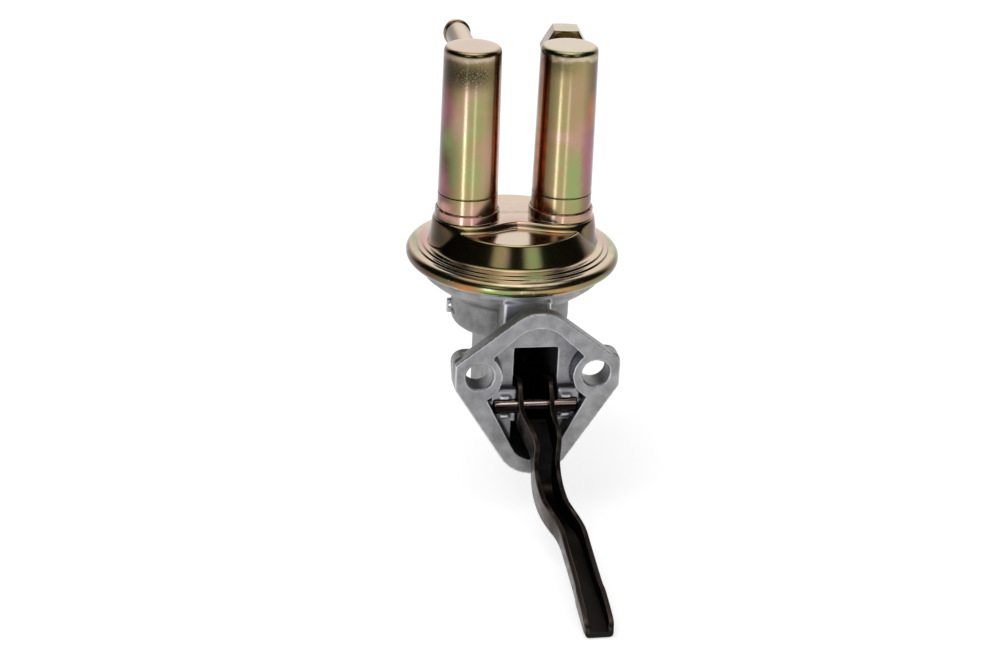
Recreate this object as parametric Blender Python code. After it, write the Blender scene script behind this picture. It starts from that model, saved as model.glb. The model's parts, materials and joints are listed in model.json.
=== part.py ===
"""A cam-driven mechanical fuel pump with a two-bolt flange and two tall canisters.

The origin lies midway between the two bolt holes, on the face that meets the engine.
+X points to the right of someone who looks at that face, +Y away from the engine and
+Z up along the pump. All lengths are in metres, written as millimetres times MM.
"""

import math

import bmesh
import bpy
from mathutils import Vector
from mathutils.geometry import convex_hull_2d

MM = 0.001

# Shared clearances
GAP = 0.3 * MM
RUNNING_GAP = 0.35 * MM

# Mounting flange, in the XZ plane
BOLT_SPACING = 47.6 * MM
BOLT_HOLE_R = 5.6 * MM
BOLT_CHAMFER = 0.5 * MM
FLANGE_THICKNESS = 6.3 * MM
FLANGE_TOP = 27.2 * MM
FLANGE_TOP_R = 16.0 * MM
FLANGE_BOTTOM = 45.2 * MM
FLANGE_BOTTOM_R = 16.0 * MM
FLANGE_HALF_WIDTH = 33.8 * MM
FLANGE_CORNER_R = 2.0 * MM
FLANGE_CORNER_HIGH = 4.3 * MM
FLANGE_CORNER_LOW = 5.0 * MM
BOSS_DEPTH = 10.8 * MM
BOSS_TOP = 8.1 * MM
BOSS_SIDE = 34.5 * MM
BOSS_CORNER_R = 5.0 * MM
BOSS_INNER = 17.0 * MM

# Recess in the flange face, its floor and the slot for the arm
RECESS_DEPTH = 7.5 * MM
RECESS_TOP = 20.4 * MM
RECESS_TOP_R = 12.7 * MM
RECESS_BOTTOM = 38.5 * MM
RECESS_BOTTOM_R = 10.1 * MM
RECESS_SIDE = 25.0 * MM
RECESS_SIDE_Z = 0.5 * MM
LAND_R = 10.8 * MM
LAND_OFFSET = 25.2 * MM
LAND_DROP = 0.9 * MM
POCKET_WALL = 3.2 * MM
SLOT_HALF_WIDTH = 8.4 * MM
SLOT_TOP = 8.7 * MM

# Pivot pin and the raised pads that hold it
PIN_R = 2.75 * MM
PIN_HALF_LENGTH = 17.0 * MM
PIN_Y = 3.5 * MM
PIN_Z = -15.35 * MM
PAD_HEIGHT_ABOVE = 7.4 * MM
PAD_HEIGHT_BELOW = 7.0 * MM
PAD_REACH = 18.4 * MM
STAKE_START = 10.6 * MM
STAKE_END = 14.6 * MM
STAKE_WIDTH = 1.7 * MM
STAKE_HEIGHT = 0.9 * MM

# Rolled rim, the clamped stack inside it and the bowl under it, all drawn inwards from the rim
RIM_R = 44.5 * MM
RIM_Z = 33.0 * MM
CRIMP_R = 3.1 * MM
SHEET = 1.2 * MM
CLAMP_R = RIM_R - 3.5 * MM
BOWL_R = RIM_R - 5.9 * MM
LIP_R = BOWL_R + 0.8 * MM
BODY_RIM_THICKNESS = 1.7 * MM
DIAPHRAGM_THICKNESS = 1.2 * MM

# Pump axis and the die-cast bowl around it
PUMP_X = -3.53 * MM
PUMP_Y = 52.0 * MM
BOWL_WALL = 2.8 * MM
BOWL_SHOULDER_R = BOWL_R - 5.6 * MM
BOWL_SHOULDER_Z = 21.0 * MM
BOWL_EDGE_Z = 26.5 * MM
BOWL_NECK_Z = 16.2 * MM
SUMP_R = 24.9 * MM
SUMP_FLOOR_Z = 2.0 * MM
SUMP_CORNER_R = 3.6 * MM
SUMP_FLOOR_THICKNESS = 3.5 * MM

# Arm housing below the bowl
HOUSING_R = 15.3 * MM
HOUSING_WALL = 3.5 * MM
HOUSING_FRONT_HALF = 13.0 * MM
HOUSING_TOP = 13.0 * MM
HOUSING_DROP_FRONT = 41.5 * MM
HOUSING_DROP_BACK = 36.5 * MM
COLUMN_HALF_WIDTH = 8.9 * MM
COLUMN_X = -2.2 * MM
COLUMN_FRONT = 16.5 * MM
GROOVE_WIDTH = 1.7 * MM
GROOVE_DEPTH = 4.0 * MM

# Vent lug on the left of the bowl
LUG_REACH = 26.4 * MM
LUG_BACK = 3.5 * MM
LUG_LOW = 4.2 * MM
LUG_HIGH = 10.4 * MM
LUG_THICKNESS = 2.2 * MM
VENT_R = 1.3 * MM

# Pressed cover: ledges, dome wall, saddle and the raised plateau under the canisters
LEDGE_STEP = 0.8 * MM
LEDGE_RADII = (RIM_R - 4.0 * MM, RIM_R - 6.2 * MM)
DOME_FOOT_R = RIM_R - 9.8 * MM
DOME_FOOT_Z = 38.0 * MM
DOME_SHOULDER_R = DOME_FOOT_R - 5.4 * MM
DOME_SHOULDER_Z = 47.2 * MM
CANISTER_HALF_SPACING = 0.56657 * DOME_FOOT_R
CANISTER_BASE_R = 0.35879 * DOME_FOOT_R
PLATEAU_Z = 49.5 * MM
PLATEAU_END_R = CANISTER_BASE_R + 2.55 * MM
PLATEAU_WAIST = CANISTER_BASE_R - 2.95 * MM
PLATEAU_EDGE = 0.6 * MM
COLLAR_R = CANISTER_BASE_R + 0.95 * MM
COLLAR_HEIGHT = 3.9 * MM
COLLAR_FLARE = 0.8 * MM
PORT_R = CANISTER_BASE_R - 3.45 * MM

# Canisters
CANISTER_TOP_R = CANISTER_BASE_R - 0.75 * MM
CANISTER_WALL = 1.0 * MM
CANISTER_TOP_Z = 122.0 * MM
CANISTER_EDGE_R = 1.5 * MM
CANISTER_GROOVE_Z = 60.3 * MM
CANISTER_GROOVE = 0.3 * MM

# Inlet tube and outlet fitting
TUBE_R = 5.0 * MM
TUBE_WALL = 1.0 * MM
TUBE_DROP = 8.0 * MM
TUBE_INNER_END = 8.5 * MM
TUBE_LENGTH = 49.0 * MM
BEAD_R = 5.75 * MM
BEAD_POSITION = 45.0 * MM
BEAD_HALF_LENGTH = 1.4 * MM
FITTING_DROP = 9.0 * MM
FITTING_TURN = 7
FITTING_NECK_R = 6.0 * MM
FITTING_BORE_R = 3.6 * MM
HEX_ACROSS_FLATS = 17.5 * MM
HEX_START = 20.0 * MM
HEX_LENGTH = 11.7 * MM
HEX_CHAMFER_ANGLE = 25
HEX_FACE_INSET = 0.25 * MM
SOCKET_R = 6.6 * MM
SOCKET_DEPTH = 9.0 * MM

# Valve carrier and the two valves
CARRIER_INSET = 1.3 * MM
CARRIER_RIB = 2.4 * MM
VALVE_SPACING = 15.5 * MM
VALVE_CAGE_R = 8.0 * MM
VALVE_CAGE_HEIGHT = 8.2 * MM
VALVE_CAGE_WALL = 1.0 * MM
VALVE_SOCKET_WALL = 1.6 * MM
VALVE_PORT_R = 4.2 * MM
VALVE_DISC_R = 5.6 * MM
VALVE_DISC_THICKNESS = 0.9 * MM
VALVE_SPRING_R = 3.4 * MM
VALVE_SPRING_WIRE_R = 0.3 * MM
VALVE_RETAINER_HOLE_R = 2.2 * MM

# Diaphragm pack and pull rod
PACK_Z = 29.0 * MM
PLATE_R = BOWL_R - 17.6 * MM
PLATE_THICKNESS = 1.2 * MM
PLATE_LIP = 1.6 * MM
ROD_R = 2.5 * MM
ROD_HEAD_R = 4.2 * MM
ROD_HEAD_THICKNESS = 1.2 * MM
WASHER_R = 7.0 * MM
WASHER_THICKNESS = 1.0 * MM
FOOT_R = 5.2 * MM
FOOT_THICKNESS = 3.2 * MM

# Spring, seal and retainer in the sump
PUMP_SPRING_R = 12.0 * MM
PUMP_SPRING_WIRE_R = 1.0 * MM
PUMP_SPRING_TURNS = 5.5
SEAL_R = 6.0 * MM
SEAL_HEIGHT = 4.0 * MM
SEAL_BOSS_WALL = 0.7 * MM
SEAL_SHOULDER = 1.2 * MM
SEAL_LEDGE = 1.6 * MM
RETAINER_R = 16.0 * MM
RETAINER_SHEET = 1.0 * MM
RETAINER_CUP_R = 7.3 * MM

# Rocker arm: stamped steel channel
ARM_SHEET = 2.0 * MM
ARM_CORNER_R = 1.8 * MM
ARM_EYE_HALF = 7.35 * MM
ARM_CHANNEL_HALF = 5.45 * MM
ARM_TIP_HALF = 5.8 * MM
FORK_HALF_GAP = 3.1 * MM
FORK_START = 4.0 * MM
FORK_END = 6.0 * MM
ARM_INNER_BOTTOM = -20.0 * MM

# Return spring below the inner end of the arm
RETURN_SPRING_Y = 27.0 * MM
RETURN_SPRING_R = 4.8 * MM
RETURN_SPRING_WIRE_R = 0.7 * MM
RETURN_SPRING_TURNS = 5.0
SPRING_PEG_R = 3.3 * MM
SPRING_PEG_HEIGHT = 3.0 * MM

ROUND_STEPS = 44
CAN_STEPS = 28
SMALL_STEPS = 18
TINY_STEPS = 12
COIL_STEPS = 8

# Values worked out from the ones above
RIM_TOP = RIM_Z + CRIMP_R
CLAMP_TOP = RIM_TOP - SHEET - GAP
DIAPHRAGM_RIM_Z = CLAMP_TOP - DIAPHRAGM_THICKNESS
BODY_RIM_TOP = DIAPHRAGM_RIM_Z - GAP
BODY_RIM_BOTTOM = BODY_RIM_TOP - BODY_RIM_THICKNESS
BODY_MOUTH_R = BOWL_R - 1.2 * BOWL_WALL
SUMP_INNER_Z = SUMP_FLOOR_Z + SUMP_FLOOR_THICKNESS
SEAL_SEAT_Z = SUMP_FLOOR_Z + SEAL_LEDGE
COLLAR_TOP = PLATEAU_Z + COLLAR_HEIGHT
COLLAR_BORE_R = CANISTER_BASE_R + GAP
CARRIER_R = LEDGE_RADII[-1] - CARRIER_INSET
CARRIER_Z = CLAMP_TOP + GAP
CARRIER_TOP = RIM_TOP + len(LEDGE_RADII) * LEDGE_STEP - SHEET - GAP
LOWER_PLATE_Z = PACK_Z - GAP - PLATE_THICKNESS
UPPER_PLATE_Z = PACK_Z + DIAPHRAGM_THICKNESS + GAP
WASHER_Z = UPPER_PLATE_Z + PLATE_THICKNESS + GAP
ROD_HEAD_Z = WASHER_Z + WASHER_THICKNESS + GAP
FOOT_TOP = ARM_INNER_BOTTOM - RUNNING_GAP
RETAINER_Z = SUMP_INNER_Z + GAP
CAVITY_R = HOUSING_R - HOUSING_WALL
CAVITY_FLOOR_FRONT = -(HOUSING_DROP_FRONT - HOUSING_WALL)
CAVITY_FLOOR_BACK = -(HOUSING_DROP_BACK - HOUSING_WALL)
CAVITY_CEILING = SUMP_FLOOR_Z + 0.4 * MM


# Outlines

def arc(centre, radius, start, end, steps):
    """Points on an arc, with its angles in degrees."""
    points = []
    for i in range(steps + 1):
        angle = math.radians(start + (end - start) * i / steps)
        points.append((centre[0] + radius * math.cos(angle), centre[1] + radius * math.sin(angle)))
    return points


def hull_of_circles(circles, steps=24):
    """The outline of a band pulled round several circles, each given as (x, y, radius)."""
    points = []
    for x, y, radius in circles:
        points += arc((x, y), radius, 0, 360 - 360 / steps, steps - 1)
    return [points[i] for i in convex_hull_2d([Vector(p) for p in points])]


def mirrored(x, y, radius):
    return [(x, y, radius), (-x, y, radius)]


# Meshes

def add_object(name, mesh_data, material=None, location=(0, 0, 0)):
    """Puts a mesh into the scene as an object, with its faces turned outwards."""
    bmesh.ops.recalc_face_normals(mesh_data, faces=mesh_data.faces)
    mesh = bpy.data.meshes.new(name)
    mesh_data.to_mesh(mesh)
    mesh_data.free()
    obj = bpy.data.objects.new(name, mesh)
    obj.location = location
    if material:
        mesh.materials.append(material)
    bpy.context.collection.objects.link(obj)
    return obj


def turned(name, profile, material=None, steps=ROUND_STEPS, location=(0, 0, 0)):
    """A solid of revolution about local Z, from a closed profile of (radius, height) points."""
    data = bmesh.new()
    rings = []
    for radius, height in profile:
        if radius < 1e-7:
            rings.append([data.verts.new((0, 0, height))])
            continue
        turn = [2 * math.pi * i / steps for i in range(steps)]
        rings.append([data.verts.new((radius * math.cos(a), radius * math.sin(a), height)) for a in turn])
    for low, high in zip(rings, rings[1:] + rings[:1]):
        for i in range(steps):
            corners = [low[i % len(low)], low[(i + 1) % len(low)], high[(i + 1) % len(high)], high[i % len(high)]]
            corners = list(dict.fromkeys(corners))
            if len(corners) > 2:
                data.faces.new(corners)
    return add_object(name, data, material, location)


def prism(name, outline, axis, low, high, material=None):
    """An outline pushed from low to high along one axis. Its points are the other two axes in order."""
    place = {"X": lambda p, d: (d, p[0], p[1]), "Y": lambda p, d: (p[0], d, p[1]), "Z": lambda p, d: (p[0], p[1], d)}
    data = bmesh.new()
    near = [data.verts.new(place[axis](p, low)) for p in outline]
    far = [data.verts.new(place[axis](p, high)) for p in outline]
    data.faces.new(near)
    data.faces.new(far[::-1])
    for i in range(len(outline)):
        j = (i + 1) % len(outline)
        data.faces.new((near[i], near[j], far[j], far[i]))
    return add_object(name, data, material)


def block(name, low, high):
    """A plain box between two corners."""
    outline = [(low[0], low[1]), (high[0], low[1]), (high[0], high[1]), (low[0], high[1])]
    return prism(name, outline, "Z", low[2], high[2])


def loft(name, sections, material=None, location=(0, 0, 0)):
    """Joins closed sections of equal length in order, and closes both ends."""
    data = bmesh.new()
    loops = [[data.verts.new(Vector(point) - Vector(location)) for point in section] for section in sections]
    for near, far in zip(loops, loops[1:]):
        for i in range(len(near)):
            j = (i + 1) % len(near)
            data.faces.new((near[i], near[j], far[j], far[i]))
    data.faces.new(loops[0][::-1])
    data.faces.new(loops[-1])
    return add_object(name, data, material, location)


def rod(name, axis, centre, radius, low, high, steps=SMALL_STEPS):
    """A round bar along one axis, used for bores and bosses."""
    return prism(name, arc(centre, radius, 0, 360 - 360 / steps, steps - 1), axis, low, high)


def rounded(obj, width, segments=1, angle=35):
    """Rounds the edges of an object that turn by more than the given angle."""
    bevel = obj.modifiers.new("rounded_edges", "BEVEL")
    bevel.width = width
    bevel.segments = segments
    bevel.limit_method = "ANGLE"
    bevel.angle_limit = math.radians(angle)
    return obj


def combine(target, tool, operation, solver="EXACT"):
    """Applies a Boolean between two objects and keeps the tool as a hidden guide."""
    modifier = target.modifiers.new(f"{operation.lower()}_{tool.name}", "BOOLEAN")
    modifier.operation = operation
    modifier.solver = solver
    modifier.object = tool
    tool.hide_render = True
    tool.display_type = "WIRE"
    return target


def join(target, *tools, solver="EXACT"):
    for tool in tools:
        combine(target, tool, "UNION", solver)
    return target


def cut(target, *tools, solver="EXACT"):
    for tool in tools:
        combine(target, tool, "DIFFERENCE", solver)
    return target


def coil(name, centre, coil_r, wire_r, low, high, turns, material):
    """A compression spring about a vertical line, as a bevelled curve."""
    steps = int(turns * COIL_STEPS)
    curve = bpy.data.curves.new(name, "CURVE")
    curve.dimensions = "3D"
    curve.bevel_depth = wire_r
    curve.bevel_resolution = 1
    curve.use_fill_caps = True
    spline = curve.splines.new("POLY")
    spline.points.add(steps)
    climb = high - low - 2 * wire_r
    for i, point in enumerate(spline.points):
        angle = 2 * math.pi * turns * i / steps
        height = low + wire_r + climb * i / steps
        x = centre[0] + coil_r * math.cos(angle)
        y = centre[1] + coil_r * math.sin(angle)
        point.co = (x, y, height, 1)
    curve.materials.append(material)
    obj = bpy.data.objects.new(name, curve)
    bpy.context.collection.objects.link(obj)
    return obj


def make_material(name, colour, roughness, metallic):
    material = bpy.data.materials.new(name)
    material.use_nodes = True
    shader = material.node_tree.nodes["Principled BSDF"]
    shader.inputs["Base Color"].default_value = (*colour, 1)
    shader.inputs["Roughness"].default_value = roughness
    shader.inputs["Metallic"].default_value = metallic
    material.diffuse_color = (*colour, 1)
    return material


# Die-cast body

def flange_outline():
    side_x = FLANGE_HALF_WIDTH - FLANGE_CORNER_R
    circles = [(0, FLANGE_TOP - FLANGE_TOP_R, FLANGE_TOP_R)]
    circles += mirrored(side_x, FLANGE_CORNER_HIGH, FLANGE_CORNER_R)
    circles += mirrored(side_x, -FLANGE_CORNER_LOW, FLANGE_CORNER_R)
    circles += [(0, FLANGE_BOTTOM_R - FLANGE_BOTTOM, FLANGE_BOTTOM_R)]
    return hull_of_circles(circles)


def bolt_boss(side, sign):
    """The thick part of the flange behind one bolt hole, which the bolt head pulls on."""
    high = BOSS_TOP - BOSS_CORNER_R
    outer_x = BOSS_SIDE - BOSS_CORNER_R
    circles = [(outer_x, high, BOSS_CORNER_R), (BOSS_INNER, high, BOSS_CORNER_R)]
    circles += [(FLANGE_HALF_WIDTH - FLANGE_CORNER_R, -FLANGE_CORNER_LOW, FLANGE_CORNER_R)]
    circles += [(BOSS_INNER, -FLANGE_CORNER_LOW - BOSS_CORNER_R, BOSS_CORNER_R)]
    outline = hull_of_circles([(sign * x, z, radius) for x, z, radius in circles], 24)
    return rounded(prism(f"{side}_bolt_boss", outline, "Y", FLANGE_THICKNESS / 2, BOSS_DEPTH), 0.6 * MM)


def recess_circles(grow=0.0):
    """The four circles that the recess is drawn round, with its sides running under the bolt lands."""
    circles = [(0, RECESS_TOP - RECESS_TOP_R, RECESS_TOP_R + grow)]
    circles += mirrored(RECESS_SIDE, RECESS_SIDE_Z, FLANGE_CORNER_R / 2)
    circles += [(0, RECESS_BOTTOM_R - RECESS_BOTTOM, RECESS_BOTTOM_R + grow)]
    return circles


def recess_cutter():
    recess = prism("recess_cut", hull_of_circles(recess_circles()), "Y", -MM, RECESS_DEPTH)
    for side, x in (("left", -LAND_OFFSET), ("right", LAND_OFFSET)):
        land = rod(f"{side}_land", "Y", (x, -LAND_DROP), LAND_R, -2 * MM, RECESS_DEPTH + MM, ROUND_STEPS)
        cut(recess, land)
    return recess


def pin_pads():
    """The raised pads beside the slot, with half-round beds for the pin and staked metal round it."""
    pads = []
    for side, sign in (("left", -1), ("right", 1)):
        x = sorted((sign * SLOT_HALF_WIDTH, sign * PAD_REACH))
        low = (x[0], PIN_Y, PIN_Z - PAD_HEIGHT_BELOW)
        high = (x[1], RECESS_DEPTH + MM, PIN_Z + PAD_HEIGHT_ABOVE)
        pad = rounded(block(f"{side}_pin_pad", low, high), 0.5 * MM)
        stake_x = sorted((sign * STAKE_START, sign * STAKE_END))
        for end, direction in (("upper", 1), ("lower", -1)):
            stake_z = PIN_Z + direction * (PIN_R + GAP + STAKE_WIDTH / 2)
            low = (stake_x[0], PIN_Y - STAKE_HEIGHT, stake_z - STAKE_WIDTH / 2)
            high = (stake_x[1], PIN_Y + MM, stake_z + STAKE_WIDTH / 2)
            join(pad, rounded(block(f"{side}_{end}_stake", low, high), 0.4 * MM))
        pads.append(pad)
    return pads


def housing():
    """The tunnel that the arm swings in, round at the back and joined to the flange in front."""
    front = 2 * MM
    plan = hull_of_circles([
        (PUMP_X, PUMP_Y, HOUSING_R),
        (HOUSING_FRONT_HALF - front, FLANGE_THICKNESS + front, front),
        (front - HOUSING_FRONT_HALF, FLANGE_THICKNESS + front, front),
    ])
    tunnel = prism("housing_plan", plan, "Z", -HOUSING_DROP_FRONT - MM, HOUSING_TOP)
    back = PUMP_Y + HOUSING_R
    side = [
        (FLANGE_THICKNESS - 2 * MM, -HOUSING_DROP_FRONT),
        (PUMP_Y - HOUSING_R, -HOUSING_DROP_BACK - 1.5 * MM),
        (back - 7 * MM, -HOUSING_DROP_BACK),
        (back + MM, -HOUSING_DROP_BACK + 7 * MM),
        (back + MM, SUMP_FLOOR_Z + 4 * MM),
        (PUMP_Y - SUMP_R + 4 * MM, SUMP_FLOOR_Z + 4 * MM),
        (PUMP_Y - SUMP_R, HOUSING_TOP),
        (FLANGE_THICKNESS - 2 * MM, HOUSING_TOP + MM),
    ]
    shape = prism("housing_side", side, "X", -BOLT_SPACING, BOLT_SPACING)
    return rounded(combine(tunnel, shape, "INTERSECT"), 1.6 * MM, 2)


def arm_cavity():
    """The space inside the housing, from the recess to behind the pull rod."""
    plan = hull_of_circles([
        (PUMP_X, PUMP_Y, CAVITY_R),
        (SLOT_HALF_WIDTH - MM, -MM, MM),
        (MM - SLOT_HALF_WIDTH, -MM, MM),
    ], 24)
    space = prism("cavity_plan", plan, "Z", -HOUSING_DROP_FRONT, SLOT_TOP)
    step = PUMP_Y - SUMP_R - HOUSING_WALL
    back = PUMP_Y + CAVITY_R + MM
    side = [
        (-2 * MM, RECESS_BOTTOM_R / 2 - RECESS_BOTTOM),
        (RECESS_DEPTH, CAVITY_FLOOR_FRONT),
        (PUMP_Y - HOUSING_R, CAVITY_FLOOR_BACK - 1.5 * MM),
        (back, CAVITY_FLOOR_BACK),
        (back, CAVITY_CEILING),
        (step, CAVITY_CEILING),
        (step, SLOT_TOP + MM),
        (-2 * MM, SLOT_TOP + MM),
    ]
    shape = prism("cavity_side", side, "X", -BOLT_SPACING, BOLT_SPACING)
    return combine(space, shape, "INTERSECT")


def bowl():
    """The bowl and the narrower sump under it, turned about the pump axis and still solid."""
    outside = [(0, SUMP_FLOOR_Z)]
    corner = (SUMP_R - SUMP_CORNER_R, SUMP_FLOOR_Z + SUMP_CORNER_R)
    outside += arc(corner, SUMP_CORNER_R, -90, 0, 4)
    outside += [(SUMP_R, BOWL_NECK_Z - MM), (SUMP_R + 1.2 * MM, BOWL_NECK_Z + 0.4 * MM)]
    outside += [(BOWL_SHOULDER_R, BOWL_SHOULDER_Z), (BOWL_R - MM, BOWL_EDGE_Z - 1.6 * MM)]
    outside += [(BOWL_R, BOWL_EDGE_Z)]
    rim = [(BOWL_R, BODY_RIM_BOTTOM), (CLAMP_R, BODY_RIM_BOTTOM)]
    rim += [(CLAMP_R, BODY_RIM_TOP), (0, BODY_RIM_TOP)]
    return turned("bowl", outside + rim, location=(PUMP_X, PUMP_Y, 0))


def bowl_hollow():
    """The space inside the bowl and the sump, with a wall of even thickness left round it."""
    wall = BOWL_WALL
    top = BODY_RIM_TOP + 5 * MM
    corner = (SUMP_R - SUMP_CORNER_R, SUMP_INNER_Z + SUMP_CORNER_R - wall)
    points = [(0, top), (0, SUMP_INNER_Z)]
    points += arc(corner, SUMP_CORNER_R - wall, -90, 0, 2)
    points += [(SUMP_R - wall, BOWL_NECK_Z + 0.7 * wall)]
    points += [(BOWL_SHOULDER_R - 0.7 * wall, BOWL_SHOULDER_Z + 0.7 * wall)]
    points += [(BODY_MOUTH_R, BOWL_EDGE_Z), (BODY_MOUTH_R, top)]
    return turned("bowl_hollow", points, location=(PUMP_X, PUMP_Y, 0))


def vent_lug():
    """A small ear on the left of the sump, drilled through from front to back."""
    low = (PUMP_X - LUG_REACH, PUMP_Y + LUG_BACK - LUG_THICKNESS / 2, LUG_LOW)
    high = (PUMP_X - SUMP_R + BOWL_WALL / 2, PUMP_Y + LUG_BACK + LUG_THICKNESS / 2, LUG_HIGH)
    return rounded(block("vent_lug", low, high), 0.6 * MM)


def seal_boss():
    """The raised ring on the sump floor that the rod seal sits in, before it is bored."""
    boss_r = SEAL_R + GAP + SEAL_BOSS_WALL
    low = SUMP_INNER_Z - MM
    return rod("seal_boss", "Z", (PUMP_X, PUMP_Y), boss_r, low, SUMP_INNER_Z + SEAL_HEIGHT)


def seal_bore():
    """The bore through the sump floor, wider above the shoulder that the rod seal rests on."""
    narrow = SEAL_R - SEAL_SHOULDER
    wide = SEAL_R + GAP
    low = SUMP_FLOOR_Z - 3 * MM
    top = SUMP_INNER_Z + 2 * SEAL_HEIGHT
    profile = [(0, low), (narrow, low), (narrow, SEAL_SEAT_Z), (wide, SEAL_SEAT_Z), (wide, top), (0, top)]
    return turned("seal_bore", profile, steps=SMALL_STEPS, location=(PUMP_X, PUMP_Y, 0))


def spring_peg_x():
    """Where the arm's middle lies, across, above the return spring."""
    return arm_middle(RETURN_SPRING_Y)


def cavity_floor(y):
    start, end = RECESS_DEPTH, PUMP_Y - HOUSING_R
    share = (y - start) / (end - start)
    return CAVITY_FLOOR_FRONT + share * (CAVITY_FLOOR_BACK - 1.5 * MM - CAVITY_FLOOR_FRONT)


def make_lower_body(material):
    body = prism("lower_body", flange_outline(), "Y", 0, FLANGE_THICKNESS, material)
    rounded(body, 0.5 * MM)
    pocket = prism("pocket", hull_of_circles(recess_circles(POCKET_WALL)), "Y", FLANGE_THICKNESS - 2 * MM, BOSS_DEPTH)
    column_low = (COLUMN_X - COLUMN_HALF_WIDTH, BOSS_DEPTH - MM, SLOT_TOP + 2 * MM)
    column_high = (COLUMN_X + COLUMN_HALF_WIDTH, PUMP_Y - 4 * MM, BOWL_SHOULDER_Z + 2 * MM)
    column_body = rounded(block("column", column_low, column_high), 1.4 * MM)
    front_low = (COLUMN_X - 2 * COLUMN_HALF_WIDTH, 0, HOUSING_TOP)
    front_high = (COLUMN_X + 2 * COLUMN_HALF_WIDTH, COLUMN_FRONT, BOWL_SHOULDER_Z + 3 * MM)
    cut(column_body, block("column_front_cut", front_low, front_high))
    join(body, rounded(pocket, 0.8 * MM))
    join(body, bolt_boss("left", -1), bolt_boss("right", 1))
    join(body, housing())
    cut(body, arm_cavity(), recess_cutter())
    join(body, *pin_pads())
    join(body, column_body, bowl(), vent_lug())
    # The exact solver loses faces once the cavity and the hollow bowl lie in one mesh.
    cut(body, bowl_hollow(), solver="MANIFOLD")
    join(body, seal_boss(), solver="MANIFOLD")
    peg_place = (spring_peg_x(), RETURN_SPRING_Y)
    floor = cavity_floor(RETURN_SPRING_Y)
    peg = rod("spring_peg", "Z", peg_place, SPRING_PEG_R, floor - MM, floor + SPRING_PEG_HEIGHT, TINY_STEPS)
    join(body, peg, solver="MANIFOLD")
    cut(body, seal_bore(), solver="MANIFOLD")
    pin_bed = PIN_HALF_LENGTH + GAP
    pin_cut = rod("pin_bed", "X", (PIN_Y, PIN_Z), PIN_R + GAP, -pin_bed, pin_bed)
    cut(body, pin_cut, solver="MANIFOLD")
    for side, x in (("left", -BOLT_SPACING / 2), ("right", BOLT_SPACING / 2)):
        hole = turned(f"{side}_bolt_hole", bolt_hole_profile(), steps=32)
        hole.rotation_euler = (math.radians(-90), 0, 0)
        hole.location = (x, 0, 0)
        cut(body, hole, solver="MANIFOLD")
    groove_x = COLUMN_X - COLUMN_HALF_WIDTH
    groove_low = (groove_x - GROOVE_WIDTH, PUMP_Y - SUMP_R - 5 * MM, SUMP_FLOOR_Z + 5 * MM)
    groove_high = (groove_x, PUMP_Y - SUMP_R + GROOVE_DEPTH, BOWL_NECK_Z + 2 * MM)
    cut(body, block("column_groove", groove_low, groove_high), solver="MANIFOLD")
    vent_place = (PUMP_X - SUMP_R, (LUG_LOW + LUG_HIGH) / 2)
    vent_near = PUMP_Y + LUG_BACK - LUG_THICKNESS
    vent_far = PUMP_Y + LUG_BACK + LUG_THICKNESS
    vent = rod("vent_hole", "Y", vent_place, VENT_R, vent_near, vent_far, TINY_STEPS)
    return cut(body, vent, solver="MANIFOLD")


def bolt_hole_profile():
    wide = BOLT_HOLE_R + BOLT_CHAMFER
    back = BOSS_DEPTH + MM
    return [(0, -MM), (wide + MM, -MM), (wide, 0), (BOLT_HOLE_R, BOLT_CHAMFER), (BOLT_HOLE_R, back), (0, back)]


# Pressed cover

def plateau_radius(angle):
    """How far the raised plateau reaches from the pump axis in a direction."""
    along = CANISTER_HALF_SPACING * abs(math.cos(angle))
    across = CANISTER_HALF_SPACING * abs(math.sin(angle))
    lobe = 0.0
    if across < PLATEAU_END_R:
        lobe = along + math.sqrt(PLATEAU_END_R**2 - across**2)
    waist = 0.0
    if PLATEAU_WAIST * along < CANISTER_HALF_SPACING * across:
        waist = PLATEAU_WAIST * CANISTER_HALF_SPACING / across
    blend = 12
    return (lobe**blend + waist**blend) ** (1 / blend)


def dome_height(radius):
    """The outer surface of the dome without its plateau."""
    if radius <= DOME_SHOULDER_R:
        return DOME_SHOULDER_Z
    share = (radius - DOME_SHOULDER_R) / (DOME_FOOT_R - DOME_SHOULDER_R)
    return max(DOME_FOOT_Z, DOME_SHOULDER_Z + share * (DOME_FOOT_Z - DOME_SHOULDER_Z))


def cover_angles():
    """Directions round the cover, closer together where the plateau's outline turns sharply."""
    tangent = math.degrees(math.asin(PLATEAU_END_R / CANISTER_HALF_SPACING))
    quarter = [0, 13, 26]
    quarter += [tangent - step for step in (9, 4, 1)]
    quarter += [58, 72]
    half = quarter + [90] + [180 - a for a in quarter[:0:-1]]
    return [math.radians(a) for a in half] + [math.radians(180 + a) for a in half]


def cover_column(angle):
    """The outer surface from the plateau to the lip under the rim, as (radius, height) points."""
    edge = plateau_radius(angle)
    points = [(edge - PLATEAU_EDGE, PLATEAU_Z), (edge, PLATEAU_Z - PLATEAU_EDGE)]
    step = 0.2 * MM
    radius = edge + 1.5 * PLATEAU_EDGE
    for wish in (radius, DOME_SHOULDER_R - MM, DOME_SHOULDER_R + 0.6 * MM, DOME_FOOT_R - MM, DOME_FOOT_R + 0.8 * MM):
        radius = max(radius + step, wish)
        height = dome_height(radius)
        if abs(wish - DOME_SHOULDER_R - 0.6 * MM) < 0.1 * MM and edge < DOME_SHOULDER_R - 2 * MM:
            height += 0.3 * MM
        if radius > DOME_FOOT_R:
            height = ledge_height(radius)
        points.append((radius, height))
    for ledge in LEDGE_RADII[::-1]:
        points += [(ledge, ledge_height(ledge - step)), (ledge + 0.5 * MM, ledge_height(ledge + step))]
    points += arc((RIM_R - CRIMP_R, RIM_Z), CRIMP_R, 90, -90, 4)
    points += [(LIP_R, RIM_Z - CRIMP_R)]
    return points


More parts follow.
